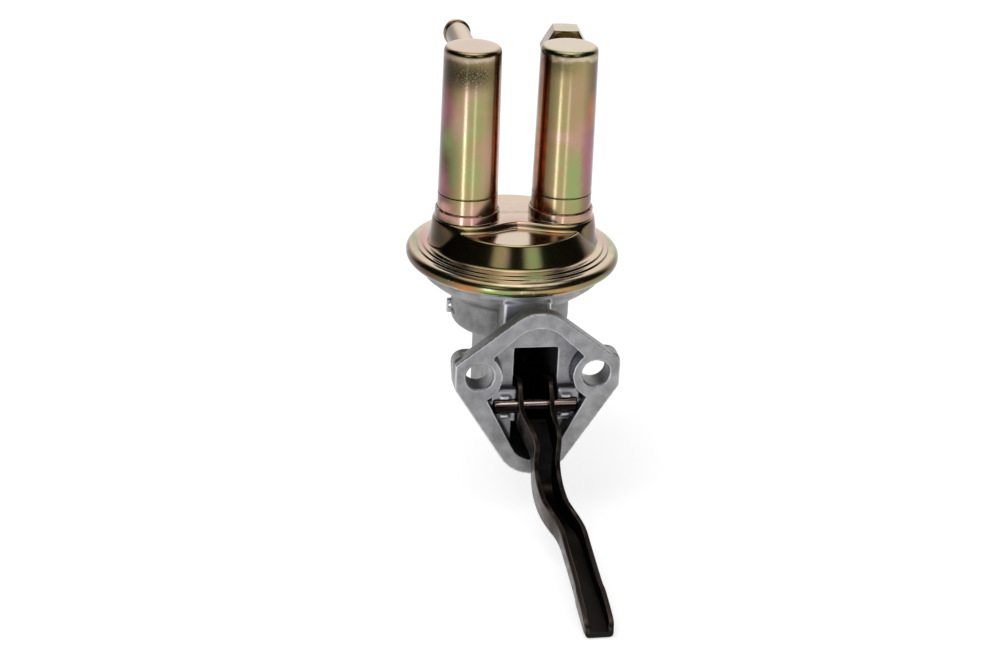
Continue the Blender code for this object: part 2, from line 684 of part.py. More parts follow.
def ledge_height(radius):
    """The ledge round the dome falls to the rim in small steps."""
    steps = sum(1 for ledge in LEDGE_RADII if radius <= ledge)
    return RIM_TOP + LEDGE_STEP * steps


def make_top_cover(material):
    angles = cover_angles()
    columns = [cover_column(angle) for angle in angles]
    data = bmesh.new()
    rings = []
    for k in range(len(columns[0])):
        ring = [
            data.verts.new((column[k][0] * math.cos(a), column[k][0] * math.sin(a), column[k][1]))
            for a, column in zip(angles, columns)
        ]
        rings.append(ring)
    data.faces.new(rings[0])
    for near, far in zip(rings, rings[1:]):
        for i in range(len(near)):
            j = (i + 1) % len(near)
            data.faces.new((near[i], far[i], far[j], near[j]))
    cover = add_object("top_cover", data, material, location=(PUMP_X, PUMP_Y, 0))
    shell = cover.modifiers.new("sheet_thickness", "SOLIDIFY")
    shell.thickness = SHEET
    shell.offset = -1
    shell.use_even_offset = True
    for side, sign in (("left", -1), ("right", 1)):
        place = (PUMP_X + sign * CANISTER_HALF_SPACING, PUMP_Y, 0)
        join(cover, turned(f"{side}_collar", collar_profile(), steps=CAN_STEPS, location=place))
        bore = rod(f"{side}_collar_bore", "Z", place[:2], COLLAR_BORE_R, PLATEAU_Z, COLLAR_TOP + MM, CAN_STEPS)
        port = rod(f"{side}_port", "Z", place[:2], PORT_R, DOME_FOOT_Z, COLLAR_TOP, SMALL_STEPS)
        cut(cover, bore, port)
    return cover


def collar_profile():
    """A drawn neck that each canister is brazed into, flared where it leaves the plateau."""
    inner = COLLAR_BORE_R - MM
    low = PLATEAU_Z - 0.4 * SHEET
    return [
        (inner, low),
        (COLLAR_R + COLLAR_FLARE, low),
        (COLLAR_R + COLLAR_FLARE / 2, PLATEAU_Z + COLLAR_FLARE / 3),
        (COLLAR_R - 0.1 * MM, PLATEAU_Z + 1.0 * MM),
        (COLLAR_R, COLLAR_TOP - 0.2 * MM),
        (COLLAR_R - 0.2 * MM, COLLAR_TOP),
        (inner, COLLAR_TOP),
    ]


# Canisters, tube and fitting

def canister_profile():
    """A drawn can, open at its foot, slightly narrower at the top."""
    foot = PLATEAU_Z + GAP
    shoulder = CANISTER_TOP_Z - CANISTER_EDGE_R
    wall = CANISTER_WALL
    groove = CANISTER_GROOVE
    points = [(CANISTER_BASE_R, foot), (CANISTER_BASE_R, CANISTER_GROOVE_Z - groove)]
    points += [(CANISTER_BASE_R - groove, CANISTER_GROOVE_Z), (CANISTER_BASE_R, CANISTER_GROOVE_Z + groove)]
    points += arc((CANISTER_TOP_R - CANISTER_EDGE_R, shoulder), CANISTER_EDGE_R, 0, 90, 3)
    points += [(0, CANISTER_TOP_Z), (0, CANISTER_TOP_Z - wall)]
    points += [(CANISTER_TOP_R - CANISTER_EDGE_R, CANISTER_TOP_Z - wall), (CANISTER_TOP_R - wall, shoulder)]
    points += [(CANISTER_BASE_R - wall, foot)]
    return points


def make_canister(name, sign, hole_r, drop, turn, material):
    place = (PUMP_X + sign * CANISTER_HALF_SPACING, PUMP_Y, 0)
    can = turned(name, canister_profile(), material, CAN_STEPS, place)
    wide = hole_r + GAP
    far = 2 * CANISTER_BASE_R
    hole = turned(f"{name}_side_hole", [(0, 0), (wide, 0), (wide, far), (0, far)], steps=SMALL_STEPS)
    return cut(can, lay_behind(hole, sign, drop, turn))


def lay_behind(obj, sign, drop, turn=0):
    """Lays an object's own Z away from the engine, turned to the right by some degrees.

    It starts on the middle line of the left or right canister, some way below its top.
    """
    obj.rotation_euler = (math.radians(-90), 0, math.radians(-turn))
    obj.location = (PUMP_X + sign * CANISTER_HALF_SPACING, PUMP_Y, CANISTER_TOP_Z - drop)
    return obj


def make_inlet_tube(material):
    inner = TUBE_R - TUBE_WALL
    profile = [(inner, TUBE_INNER_END), (TUBE_R, TUBE_INNER_END)]
    profile += [(TUBE_R, BEAD_POSITION - BEAD_HALF_LENGTH), (BEAD_R, BEAD_POSITION - 0.4 * MM)]
    profile += [(BEAD_R, BEAD_POSITION + 0.4 * MM), (TUBE_R, BEAD_POSITION + BEAD_HALF_LENGTH)]
    profile += [(TUBE_R, TUBE_LENGTH - 0.4 * MM), (TUBE_R - 0.4 * MM, TUBE_LENGTH), (inner, TUBE_LENGTH)]
    tube = turned("inlet_tube", profile, material, SMALL_STEPS)
    return lay_behind(tube, -1, TUBE_DROP)


def make_outlet_fitting(material):
    end = HEX_START + HEX_LENGTH
    corner_r = HEX_ACROSS_FLATS / 2 / math.cos(math.radians(30))
    hexagon = prism("outlet_fitting", arc((0, 0), corner_r, 0, 300, 5), "Z", HEX_START, end, material)
    face_r = HEX_ACROSS_FLATS / 2 - HEX_FACE_INSET
    rise = (corner_r + MM - face_r) * math.tan(math.radians(HEX_CHAMFER_ANGLE))
    chamfers = [(0, HEX_START), (face_r, HEX_START), (corner_r + MM, HEX_START + rise)]
    chamfers += [(corner_r + MM, end - rise), (face_r, end), (0, end)]
    envelope = turned("hex_envelope", chamfers, steps=36)
    neck_profile = [(0, TUBE_INNER_END), (FITTING_NECK_R, TUBE_INNER_END)]
    neck_profile += [(FITTING_NECK_R, HEX_START + MM), (0, HEX_START + MM)]
    neck = turned("fitting_neck", neck_profile, steps=SMALL_STEPS)
    socket_floor = end - SOCKET_DEPTH
    bore = [(0, TUBE_INNER_END - MM), (FITTING_BORE_R, TUBE_INNER_END - MM)]
    bore += [(FITTING_BORE_R, socket_floor - 2 * MM), (SOCKET_R - 1.5 * MM, socket_floor)]
    bore += [(SOCKET_R, socket_floor), (SOCKET_R, end - 0.6 * MM), (SOCKET_R + MM, end + 0.4 * MM), (0, end + 0.4 * MM)]
    passage = turned("fitting_bore", bore, steps=SMALL_STEPS)
    for piece in (hexagon, envelope, neck, passage):
        lay_behind(piece, 1, FITTING_DROP, FITTING_TURN)
    combine(hexagon, envelope, "INTERSECT")
    join(hexagon, neck)
    return cut(hexagon, passage)


# Valve carrier and valves

def make_valve_carrier(material):
    """A plate under the cover with a rib between inlet and outlet, and a socket for each valve."""
    top = CARRIER_TOP
    profile = [(0, CARRIER_Z), (CARRIER_R, CARRIER_Z), (CARRIER_R, top), (0, top)]
    carrier = turned("valve_carrier", profile, material, CAN_STEPS, (PUMP_X, PUMP_Y, 0))
    rib_top = DOME_SHOULDER_Z - SHEET - GAP
    reach = DOME_SHOULDER_R - 2.5 * MM
    half = CARRIER_RIB / 2
    outline = [(PUMP_Y - reach - 4 * MM, top - MM), (PUMP_Y + reach + 4 * MM, top - MM)]
    outline += [(PUMP_Y + reach, rib_top), (PUMP_Y - reach, rib_top)]
    join(carrier, prism("carrier_rib", outline, "X", PUMP_X - half, PUMP_X + half))
    for side, sign in (("inlet", -1), ("outlet", 1)):
        place = (PUMP_X + sign * VALVE_SPACING, PUMP_Y)
        socket_r = VALVE_CAGE_R + GAP
        socket_top = CARRIER_Z + VALVE_CAGE_HEIGHT - MM
        wall = rod(f"{side}_socket", "Z", place, socket_r + VALVE_SOCKET_WALL, CARRIER_Z + 0.5 * MM, socket_top)
        join(carrier, wall)
        cut(carrier, rod(f"{side}_socket_bore", "Z", place, socket_r, CARRIER_Z - MM, socket_top + MM))
    return carrier


def make_valve(side, sign, opens, materials):
    """One valve: a cage with its seat at one end, a sprung disc on the seat and a retainer at the other end."""
    place = (PUMP_X + sign * VALVE_SPACING, PUMP_Y, 0)
    wall = VALVE_CAGE_WALL
    low = CARRIER_Z
    high = low + VALVE_CAGE_HEIGHT
    middle = (low + high) / 2

    def height(z):
        """Mirrors a height for the valve that opens downwards."""
        return z if opens == "up" else 2 * middle - z

    inner = VALVE_CAGE_R - wall
    profile = [(VALVE_PORT_R, low), (VALVE_CAGE_R, low), (VALVE_CAGE_R, high), (inner, high)]
    profile += [(inner, low + wall), (VALVE_PORT_R + 0.8 * MM, low + wall)]
    profile += [(VALVE_PORT_R + 0.4 * MM, low + 1.6 * wall), (VALVE_PORT_R, low + 1.6 * wall)]
    turned(f"{side}_valve_cage", [(r, height(z)) for r, z in profile], materials["brass"], SMALL_STEPS, place)
    disc_low = low + 1.6 * wall + GAP
    disc_high = disc_low + VALVE_DISC_THICKNESS
    disc = [(0, disc_low), (VALVE_DISC_R, disc_low), (VALVE_DISC_R, disc_high), (0, disc_high)]
    turned(f"{side}_valve_disc", [(r, height(z)) for r, z in disc], materials["rubber"], SMALL_STEPS, place)
    retainer_low = high - wall
    retainer_r = inner - GAP
    retainer = [(VALVE_RETAINER_HOLE_R, retainer_low), (retainer_r, retainer_low)]
    retainer += [(retainer_r, high), (VALVE_RETAINER_HOLE_R, high)]
    turned(f"{side}_valve_retainer", [(r, height(z)) for r, z in retainer], materials["steel"], SMALL_STEPS, place)
    ends = sorted((height(disc_high + GAP), height(retainer_low - GAP)))
    coil(f"{side}_valve_spring", place[:2], VALVE_SPRING_R, VALVE_SPRING_WIRE_R, *ends, 2, materials["steel"])


# Diaphragm pack, pull rod and their spring and seal

def make_diaphragm(material):
    thick = DIAPHRAGM_THICKNESS
    hole = ROD_R + GAP
    roll = (PLATE_R + BODY_MOUTH_R) / 2
    low = PACK_Z
    rim = DIAPHRAGM_RIM_Z
    under = [(hole, low), (PLATE_R, low), (roll - 2 * MM, low + MM), (roll + 2 * MM, rim - MM)]
    under += [(BODY_MOUTH_R - MM, rim), (CLAMP_R, rim)]
    over = [(r, z + thick) for r, z in reversed(under)]
    return turned("diaphragm", under + over, material, CAN_STEPS, (PUMP_X, PUMP_Y, 0))


def make_plate(name, low, lip_direction, material):
    """A pressed plate that backs the diaphragm, with its edge turned away from the rubber."""
    thick = PLATE_THICKNESS
    lip = PLATE_LIP * lip_direction
    hole = ROD_R + GAP
    under = [(hole, low), (PLATE_R - 2 * MM, low), (PLATE_R, low + lip)]
    over = [(r, z + thick) for r, z in reversed(under)]
    return turned(name, under + over, material, CAN_STEPS, (PUMP_X, PUMP_Y, 0))


def make_rod_washer(material):
    hole = ROD_R + GAP
    top = WASHER_Z + WASHER_THICKNESS
    profile = [(hole, WASHER_Z), (WASHER_R, WASHER_Z), (WASHER_R, top), (hole, top)]
    return turned("rod_washer", profile, material, SMALL_STEPS, (PUMP_X, PUMP_Y, 0))


def make_pull_rod(material):
    """Peened over the washer at the top, with a round foot that the forked arm presses down."""
    head_top = ROD_HEAD_Z + ROD_HEAD_THICKNESS
    foot_low = FOOT_TOP - FOOT_THICKNESS
    profile = [(0, foot_low), (FOOT_R - 0.8 * MM, foot_low), (FOOT_R, foot_low + 0.8 * MM)]
    profile += [(FOOT_R - 0.2 * MM, FOOT_TOP - 1.2 * MM), (ROD_R + 0.9 * MM, FOOT_TOP), (ROD_R, FOOT_TOP)]
    profile += [(ROD_R, ROD_HEAD_Z), (ROD_HEAD_R, ROD_HEAD_Z)]
    profile += [(ROD_HEAD_R * 0.7, head_top), (0, head_top)]
    return turned("pull_rod", profile, material, SMALL_STEPS, (PUMP_X, PUMP_Y, 0))


def make_rod_seal(material):
    """A rubber lip seal that keeps engine oil out of the sump."""
    low = SEAL_SEAT_Z + GAP
    top = SUMP_INNER_Z + SEAL_HEIGHT - 0.5 * MM
    inner = ROD_R + 0.1 * MM
    profile = [(inner, low), (SEAL_R, low), (SEAL_R, top - MM), (SEAL_R - MM, top), (inner + MM, top)]
    profile += [(inner, top - 1.2 * MM)]
    return turned("rod_seal", profile, material, SMALL_STEPS, (PUMP_X, PUMP_Y, 0))


def make_seal_retainer(material):
    """A pressed steel cap over the seal, whose brim is the seat of the main spring."""
    sheet = RETAINER_SHEET
    boss_top = SUMP_INNER_Z + SEAL_HEIGHT + GAP
    hole = ROD_R + GAP
    cup = RETAINER_CUP_R
    profile = [(hole, boss_top), (cup, boss_top), (cup, RETAINER_Z), (RETAINER_R, RETAINER_Z)]
    profile += [(RETAINER_R, RETAINER_Z + sheet), (cup + sheet, RETAINER_Z + sheet)]
    profile += [(cup + sheet, boss_top + sheet), (hole, boss_top + sheet)]
    return turned("seal_retainer", profile, material, SMALL_STEPS, (PUMP_X, PUMP_Y, 0))


# Rocker arm

def arm_stations():
    """The arm from its forked inner end to its tip.

    Each station gives the foot of the section and the top of its walls as (y, z), then how far
    its middle lies across and half its width, all in millimetres. Behind the pin the channel is
    level and moves over to the pump axis. In front it drops steeply, narrows, and is set over
    to the right twice before its straight run to the tip.
    """
    axis = PUMP_X / MM
    eye = ARM_EYE_HALF / MM
    channel = ARM_CHANNEL_HALF / MM
    tip = ARM_TIP_HALF / MM
    inner = ARM_INNER_BOTTOM / MM
    end = (PUMP_Y + FORK_END) / MM
    return [
        ((end, inner), (end, inner + 6.5), axis, eye - 0.4),
        ((46, inner), (46, inner + 7.5), axis, eye - 0.4),
        ((32, inner - 0.8), (32, inner + 9.5), axis * 0.65, eye),
        ((18, inner - 1.8), (18, inner + 12), axis * 0.15, eye),
        ((9, inner - 2.2), (7.5, inner + 15), 0, eye),
        ((4.5, -22.8), (0.8, -9.5), 0, eye),
        ((1.8, -25.5), (-2.0, -14.5), 0.1, eye - 0.1),
        ((-0.5, -29.5), (-4.2, -18.0), 1.4, eye - 0.5),
        ((-2.0, -33.0), (-7.0, -21.0), 2.7, eye - 1.0),
        ((-3.2, -36.0), (-10.2, -24.0), 3.4, channel + 0.3),
        ((-4.5, -39.3), (-11.5, -28.0), 3.4, channel),
        ((-6.0, -43.0), (-11.8, -32.4), 3.2, channel),
        ((-9.0, -47.2), (-13.9, -35.8), 3.2, channel),
        ((-14.5, -49.6), (-18.0, -38.2), 3.2, channel),
        ((-22.0, -50.5), (-22.8, -39.8), 3.3, channel),
        ((-29.0, -50.8), (-29.0, -41.3), 3.8, channel),
        ((-35.5, -51.5), (-34.8, -42.4), 5.2, channel),
        ((-40.5, -52.5), (-39.2, -44.2), 7.0, channel),
        ((-46.0, -54.0), (-44.5, -46.0), 8.3, channel),
        ((-54.0, -55.6), (-52.5, -48.3), 8.7, channel),
        ((-74.0, -59.0), (-72.5, -52.0), 9.0, channel),
        ((-79.0, -60.0), (-77.7, -53.1), 9.1, tip),
        ((-88.0, -61.8), (-87.0, -55.4), 9.3, tip),
        ((-93.0, -62.8), (-92.3, -57.4), 9.4, tip),
        ((-95.0, -63.2), (-94.6, -59.4), 9.45, tip - 0.4),
    ]


def arm_middle(y):
    """How far across the arm's middle lies behind the pin, at a distance from the flange face."""
    stations = [(foot[0] * MM, across * MM) for foot, _, across, _ in arm_stations()[:5]]
    for (near, near_x), (far, far_x) in zip(stations, stations[1:]):
        if far <= y <= near:
            return near_x + (near - y) / (near - far) * (far_x - near_x)
    return stations[-1][1]


def channel_section(foot, top, across, half):
    """A U-shaped section of folded sheet, its corners rounded, standing on its foot."""
    foot = Vector((across, *foot)) * MM
    top = Vector((across, *top)) * MM
    up = (top - foot).normalized()
    tall = (top - foot).length
    half = half * MM
    sheet = ARM_SHEET
    corner = ARM_CORNER_R
    fold = 0.4 * corner
    flat = [(-half, tall)]
    flat += arc((corner - half, corner), corner, 180, 270, 2)
    flat += arc((half - corner, corner), corner, 270, 360, 2)
    flat += [(half, tall), (half - sheet, tall), (half - sheet, sheet + fold), (half - sheet - fold, sheet)]
    flat += [(sheet + fold - half, sheet), (sheet - half, sheet + fold), (sheet - half, tall)]
    return [foot + Vector((x, 0, 0)) + up * y for x, y in flat]


def between(first, second, share):
    """A station part of the way from one to the next."""
    mixed = []
    for a, b in zip(first, second):
        if isinstance(a, tuple):
            mixed.append(tuple(p + (q - p) * share for p, q in zip(a, b)))
        else:
            mixed.append(a + (b - a) * share)
    return tuple(mixed)


def smooth_stations(stations):
    """Adds a station in the middle of each pair, on a curve through its neighbours."""
    smooth = []
    last = len(stations) - 1
    for i, station in enumerate(stations[:-1]):
        before = stations[max(i - 1, 0)]
        after = stations[min(i + 2, last)]
        straight = between(station, stations[i + 1], 0.5)
        outer = between(before, after, 0.5)
        smooth += [station, between(straight, outer, -0.125)]
    return smooth + [stations[-1]]


def make_rocker_arm(material):
    stations = smooth_stations(arm_stations())
    pivot = (0, PIN_Y, PIN_Z)
    arm = loft("rocker_arm", [channel_section(*station) for station in stations], material, pivot)
    eye = ARM_EYE_HALF + MM
    cut(arm, rod("arm_pin_hole", "X", (PIN_Y, PIN_Z), PIN_R + GAP, -eye, eye))
    fork_low = (PUMP_X - FORK_HALF_GAP, PUMP_Y - FORK_START, ARM_INNER_BOTTOM - 2 * MM)
    fork_high = (PUMP_X + FORK_HALF_GAP, PUMP_Y + FORK_END + MM, ARM_INNER_BOTTOM + 5 * MM)
    return cut(arm, block("fork_gap", fork_low, fork_high))


def make_pivot_pin(material):
    edge = 0.5 * MM
    half = PIN_HALF_LENGTH
    profile = [(0, -half), (PIN_R - edge, -half), (PIN_R, edge - half)]
    profile += [(PIN_R, half - edge), (PIN_R - edge, half), (0, half)]
    pin = turned("pivot_pin", profile, material, SMALL_STEPS)
    pin.rotation_euler = (0, math.radians(90), 0)
    pin.location = (0, PIN_Y, PIN_Z)
    return pin


def main():
    for obj in list(bpy.data.objects):
        bpy.data.objects.remove(obj, do_unlink=True)
    cast = make_material("die_cast_aluminium", (0.30, 0.30, 0.32), 0.45, 1.0)
    zinc = make_material("yellow_zinc_plated_steel", (0.45, 0.37, 0.20), 0.22, 1.0)
    dark = make_material("oiled_black_steel", (0.025, 0.022, 0.02), 0.40, 0.6)
    pin = make_material("hardened_pin_steel", (0.14, 0.11, 0.10), 0.28, 1.0)
    steel = make_material("plain_steel", (0.42, 0.42, 0.43), 0.35, 1.0)
    brass = make_material("valve_brass", (0.55, 0.40, 0.16), 0.35, 1.0)
    rubber = make_material("black_fuel_rubber", (0.02, 0.02, 0.02), 0.75, 0.0)
    make_lower_body(cast)
    make_top_cover(zinc)
    make_canister("inlet_canister", -1, TUBE_R, TUBE_DROP, 0, zinc)
    make_canister("outlet_canister", 1, FITTING_NECK_R, FITTING_DROP, FITTING_TURN, zinc)
    make_inlet_tube(zinc)
    make_outlet_fitting(zinc)
    make_valve_carrier(cast)
    valve_materials = {"brass": brass, "rubber": rubber, "steel": steel}
    make_valve("inlet", -1, "down", valve_materials)
    make_valve("outlet", 1, "up", valve_materials)
    make_diaphragm(rubber)
    make_plate("lower_plate", LOWER_PLATE_Z, -1, steel)
    make_plate("upper_plate", UPPER_PLATE_Z, 1, steel)
    make_rod_washer(steel)
    make_pull_rod(steel)
    make_rod_seal(rubber)
    make_seal_retainer(steel)
    axis = (PUMP_X, PUMP_Y)
    spring_low = RETAINER_Z + RETAINER_SHEET + GAP
    spring_high = LOWER_PLATE_Z - GAP
    coil("diaphragm_spring", axis, PUMP_SPRING_R, PUMP_SPRING_WIRE_R, spring_low, spring_high,
         PUMP_SPRING_TURNS, steel)
    make_rocker_arm(dark)
    make_pivot_pin(pin)
    spring_low = cavity_floor(RETURN_SPRING_Y) + GAP
    spring_high = ARM_INNER_BOTTOM - 1.2 * MM - GAP
    coil("return_spring", (spring_peg_x(), RETURN_SPRING_Y), RETURN_SPRING_R, RETURN_SPRING_WIRE_R,
         spring_low, spring_high, RETURN_SPRING_TURNS, steel)


main()
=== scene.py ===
"""Finishes a mechanical fuel pump: smooth skins over its frame, real metals and a small studio.

All places are in metres in the pump's own frame. The origin lies midway between the two bolt
holes on the flange face, +Y points away from the engine and +Z up along the canisters.
"""

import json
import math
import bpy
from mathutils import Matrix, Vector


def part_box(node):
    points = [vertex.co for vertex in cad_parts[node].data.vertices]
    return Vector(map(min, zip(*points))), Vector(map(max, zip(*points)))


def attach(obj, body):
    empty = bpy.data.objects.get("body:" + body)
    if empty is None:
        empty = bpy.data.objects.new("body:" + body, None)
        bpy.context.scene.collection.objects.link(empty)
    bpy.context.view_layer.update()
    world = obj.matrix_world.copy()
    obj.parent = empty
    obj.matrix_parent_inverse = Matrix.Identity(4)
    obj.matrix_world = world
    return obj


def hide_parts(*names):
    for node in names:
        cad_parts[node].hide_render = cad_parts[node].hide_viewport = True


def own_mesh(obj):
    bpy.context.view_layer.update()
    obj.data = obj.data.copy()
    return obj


bl_info = {
    "name": "Fuel Pump Finisher",
    "version": (1, 0, 0),
    "blender": (4, 5, 0),
    "location": "3D View > Sidebar > Fuel Pump",
    "description": "Builds the skins, finishes and studio of a diaphragm fuel pump",
    "category": "Object",
}

import bmesh
import bpy
from mathutils import Matrix, Vector, noise
from mathutils.geometry import convex_hull_2d

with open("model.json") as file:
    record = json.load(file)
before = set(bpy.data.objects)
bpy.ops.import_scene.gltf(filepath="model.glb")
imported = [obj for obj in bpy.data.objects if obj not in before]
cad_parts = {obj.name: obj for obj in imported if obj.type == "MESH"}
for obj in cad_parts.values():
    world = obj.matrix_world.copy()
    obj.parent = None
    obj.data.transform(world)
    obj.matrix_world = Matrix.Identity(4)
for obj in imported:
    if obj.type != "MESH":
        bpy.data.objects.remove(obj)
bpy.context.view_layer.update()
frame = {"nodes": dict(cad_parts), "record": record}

MM = 0.001
PUMP_LOW, PUMP_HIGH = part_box("valve_carrier")
PUMP_X = (PUMP_LOW.x + PUMP_HIGH.x) / 2
PUMP_Y = (PUMP_LOW.y + PUMP_HIGH.y) / 2
CAN_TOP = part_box("inlet_canister")[1].z
ARM_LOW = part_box("rocker_arm")[0].z


def length(name, description, millimetres):
    """A size that a user may change, shown in the scene's own unit."""
    return bpy.props.FloatProperty(
        name=name,
        description=description,
        default=millimetres * MM,
        unit="LENGTH",
        subtype="DISTANCE",
        precision=5,
    )


def tint(name, description, code):
    """A colour that a user may change, given as an sRGB hex value."""
    return bpy.props.FloatVectorProperty(
        name=name,
        description=description,
        default=to_linear(code),
        subtype="COLOR",
        size=3,
        min=0,
        max=1,
    )


def to_linear(code):
    """An sRGB hex value as linear red, green and blue."""
    channels = [int(code[i : i + 2], 16) / 255 for i in (1, 3, 5)]
    return [c / 12.92 if c <= 0.04045 else ((c + 0.055) / 1.055) ** 2.4 for c in channels]


def add_node(tree, kind, inputs=None, **settings):
    """Adds a node and sets its fields. An input is given a value, or a socket to be linked to."""
    node = tree.nodes.new(kind)
    for field, value in settings.items():
        setattr(node, field, value)
    for name, given in (inputs or {}).items():
        if isinstance(given, bpy.types.NodeSocket):
            tree.links.new(given, node.inputs[name])
        else:
            node.inputs[name].default_value = given
    return node


class CoverSizes(bpy.types.PropertyGroup):
    """The pressed cover with its rolled rim, dome and raised plateau."""

    rim_radius: length("Rim radius", "Outer radius of the rolled rim", 44.5)
    rim_height: length("Rim height", "Middle of the rolled rim above the bolt line", 33.0)
    roll_radius: length("Roll radius", "Radius of the roll itself", 3.1)
    lip_radius: length("Lip radius", "How far the roll's lower lip reaches in", 39.4)
    sheet: length("Sheet", "Thickness of the pressed sheet", 1.2)
    ledge_step: length("Ledge step", "Height of each small step round the dome", 0.8)
    inner_ledge: length("Inner ledge", "Radius of the upper step", 37.9)
    outer_ledge: length("Outer ledge", "Radius of the lower step", 40.0)
    dome_foot: length("Dome foot", "Radius at the foot of the dome's wall", 34.7)
    dome_shoulder: length("Dome shoulder", "Radius at the top of the dome's wall", 29.3)
    shoulder_height: length("Shoulder height", "Height of the dome's shoulder", 47.2)
    plateau_height: length("Plateau height", "Height of the plateau under the canisters", 49.5)
    plateau_end: length("Plateau end", "Radius of the plateau round each canister", 15.0)
    plateau_waist: length("Plateau waist", "Half width of the plateau between the canisters", 9.5)


class CanisterSizes(bpy.types.PropertyGroup):
    """The two drawn canisters and the collars that they stand in."""

    half_spacing: length("Half spacing", "Canister axis from the pump axis", 19.66)
    base_radius: length("Base radius", "Radius of a canister at its foot", 12.45)
    top_radius: length("Top radius", "Radius of a canister below its top edge", 11.7)
    edge: length("Top edge", "Rounding of the top edge", 2.6)
    groove_height: length("Groove height", "Height of the fine groove above the foot", 60.3)
    groove: length("Groove depth", "Depth of the fine groove", 0.3)
    collar_radius: length("Collar radius", "Outer radius of a collar", 13.4)
    collar_height: length("Collar height", "Collar above the plateau", 3.9)
    collar_flare: length("Collar flare", "Spread of a collar where it leaves the plateau", 0.8)


class PortSizes(bpy.types.PropertyGroup):
    """The inlet tube and the outlet fitting behind the canisters."""

    tube_radius: length("Tube radius", "Outer radius of the inlet tube", 5.0)
    tube_wall: length("Tube wall", "Wall of the inlet tube", 1.0)
    tube_drop: length("Tube drop", "Tube axis below the canister's top", 8.0)
    tube_length: length("Tube length", "Tube end from the canister axis", 49.0)
    bead_radius: length("Bead radius", "Radius of the hose bead", 5.75)
    bead_place: length("Bead place", "Hose bead from the canister axis", 45.0)
    fitting_drop: length("Fitting drop", "Fitting axis below the canister's top", 9.0)
    neck_radius: length("Neck radius", "Radius of the fitting's neck", 6.0)
    hexagon: length("Hexagon", "Hexagon across its flats", 17.5)
    hexagon_start: length("Hexagon start", "Near face of the hexagon from the canister axis", 20.0)
    hexagon_length: length("Hexagon length", "Length of the hexagon", 11.7)
    socket_radius: length("Socket radius", "Radius of the threaded socket", 6.6)
    fitting_turn: bpy.props.FloatProperty(
        name="Fitting turn",
        description="How far the fitting is turned to the right",
        default=math.radians(7),
        subtype="ANGLE",
    )


class BodySizes(bpy.types.PropertyGroup):
    """The die-cast body with its flange, recess, arm housing and bowl."""

    bolt_spacing: length("Bolt spacing", "Distance between the two bolt holes", 47.6)
    bolt_hole: length("Bolt hole radius", "Radius of a bolt hole", 5.6)
    flange: length("Flange thickness", "Thickness of the flange at its edge", 6.3)
    boss: length("Boss depth", "Thickness of the flange behind a bolt hole", 10.8)
    recess: length("Recess depth", "Depth of the recess in the flange face", 7.5)
    slot_left: length("Slot left", "Left side of the slot from the middle line", 7.7)
    slot_right: length("Slot right", "Right side of the slot from the middle line", 9.2)
    slot_top: length("Slot top", "Upper end of the slot above the bolt line", 8.7)
    bowl_radius: length("Bowl radius", "Outer radius of the bowl below the rim", 38.6)
    sump_radius: length("Sump radius", "Outer radius of the sump", 24.9)
    housing_radius: length("Housing radius", "Radius of the back of the arm housing", 15.3)
    grain: length("Mesh grain", "Size of the cells that the casting is drawn with", 0.5)


class ArmSizes(bpy.types.PropertyGroup):
    """The rocker arm and the pin that it swings on."""

    sheet: length("Sheet", "Thickness of the arm's folded sheet", 2.0)
    fold: length("Fold radius", "Outer radius of the arm's folds", 1.8)
    pin_radius: length("Pin radius", "Radius of the pivot pin", 2.75)
    pin_half: length("Pin half length", "Half the length of the pivot pin", 17.0)
    pin_depth: length("Pin depth", "Pin axis behind the flange face", 3.5)
    pin_drop: length("Pin drop", "Pin axis below the bolt line", 15.35)


class FinishColours(bpy.types.PropertyGroup):
    """The colours of the metals and of the rubber, and of the painted light and shade laid on the metals."""

    gold: tint("Gold film", "Main colour of the yellow plating", "#9D8D5E")
    green: tint("Green film", "Where the plating's film turns green", "#87A062")
    pink: tint("Pink film", "Where the plating's film turns pink", "#C08F86")
    magenta: tint("Magenta film", "Where the pink is strongest", "#A8607A")
    orange: tint("Orange film", "Where the film turns orange", "#D0743C")
    # Painted shade and reflection, darker and redder, for faces that turn sideways such as the canisters'
    # flanks.
    flank_shade: tint("Rose film", "Film on the sides of the canisters", "#4A2F1E")
    # Painted shade and painted dark reflection, for the shade rows and the speckled patches below the
    # canister tops.
    shade: tint("Dark film", "Where the film is thick and sooty", "#27220E")
    # A painted highlight, on faces that look up and on some tops and edges.
    cream_highlight: tint("Cream film", "Thin film on faces that look up", "#E6CFBA")
    aluminium: tint("Aluminium", "Die-cast body", "#929191")
    # Painted light on the front of the column, under the rim.
    painted_light: tint("Dressed aluminium", "Where the casting is dressed with a belt", "#EDEDEF")
    black_steel: tint("Black steel", "Oiled rocker arm", "#24201C")
    # The arm's edges, partly rubbed and partly a painted highlight.
    wear_and_highlight: tint("Worn steel", "Edges of the arm where the black is rubbed", "#957F73")


class StudioValues(bpy.types.PropertyGroup):
    """The lamps, the floor and the camera."""

    sky: bpy.props.FloatProperty(
        name="Sky",
        description="Brightness of the soft dome of light",
        default=0.5,
        min=0,
    )
    key_power: bpy.props.FloatProperty(
        name="Key power",
        description="Power of the large lamp above",
        default=2.0,
        min=0,
        unit="POWER",
    )
    strip_power: bpy.props.FloatProperty(
        name="Strip power",
        description="Power of the tall lamp on the left",
        default=0.045,
        min=0,
        unit="POWER",
    )
    floor_gap: length("Floor gap", "Floor below the tip of the arm", 0.5)


# Shapes


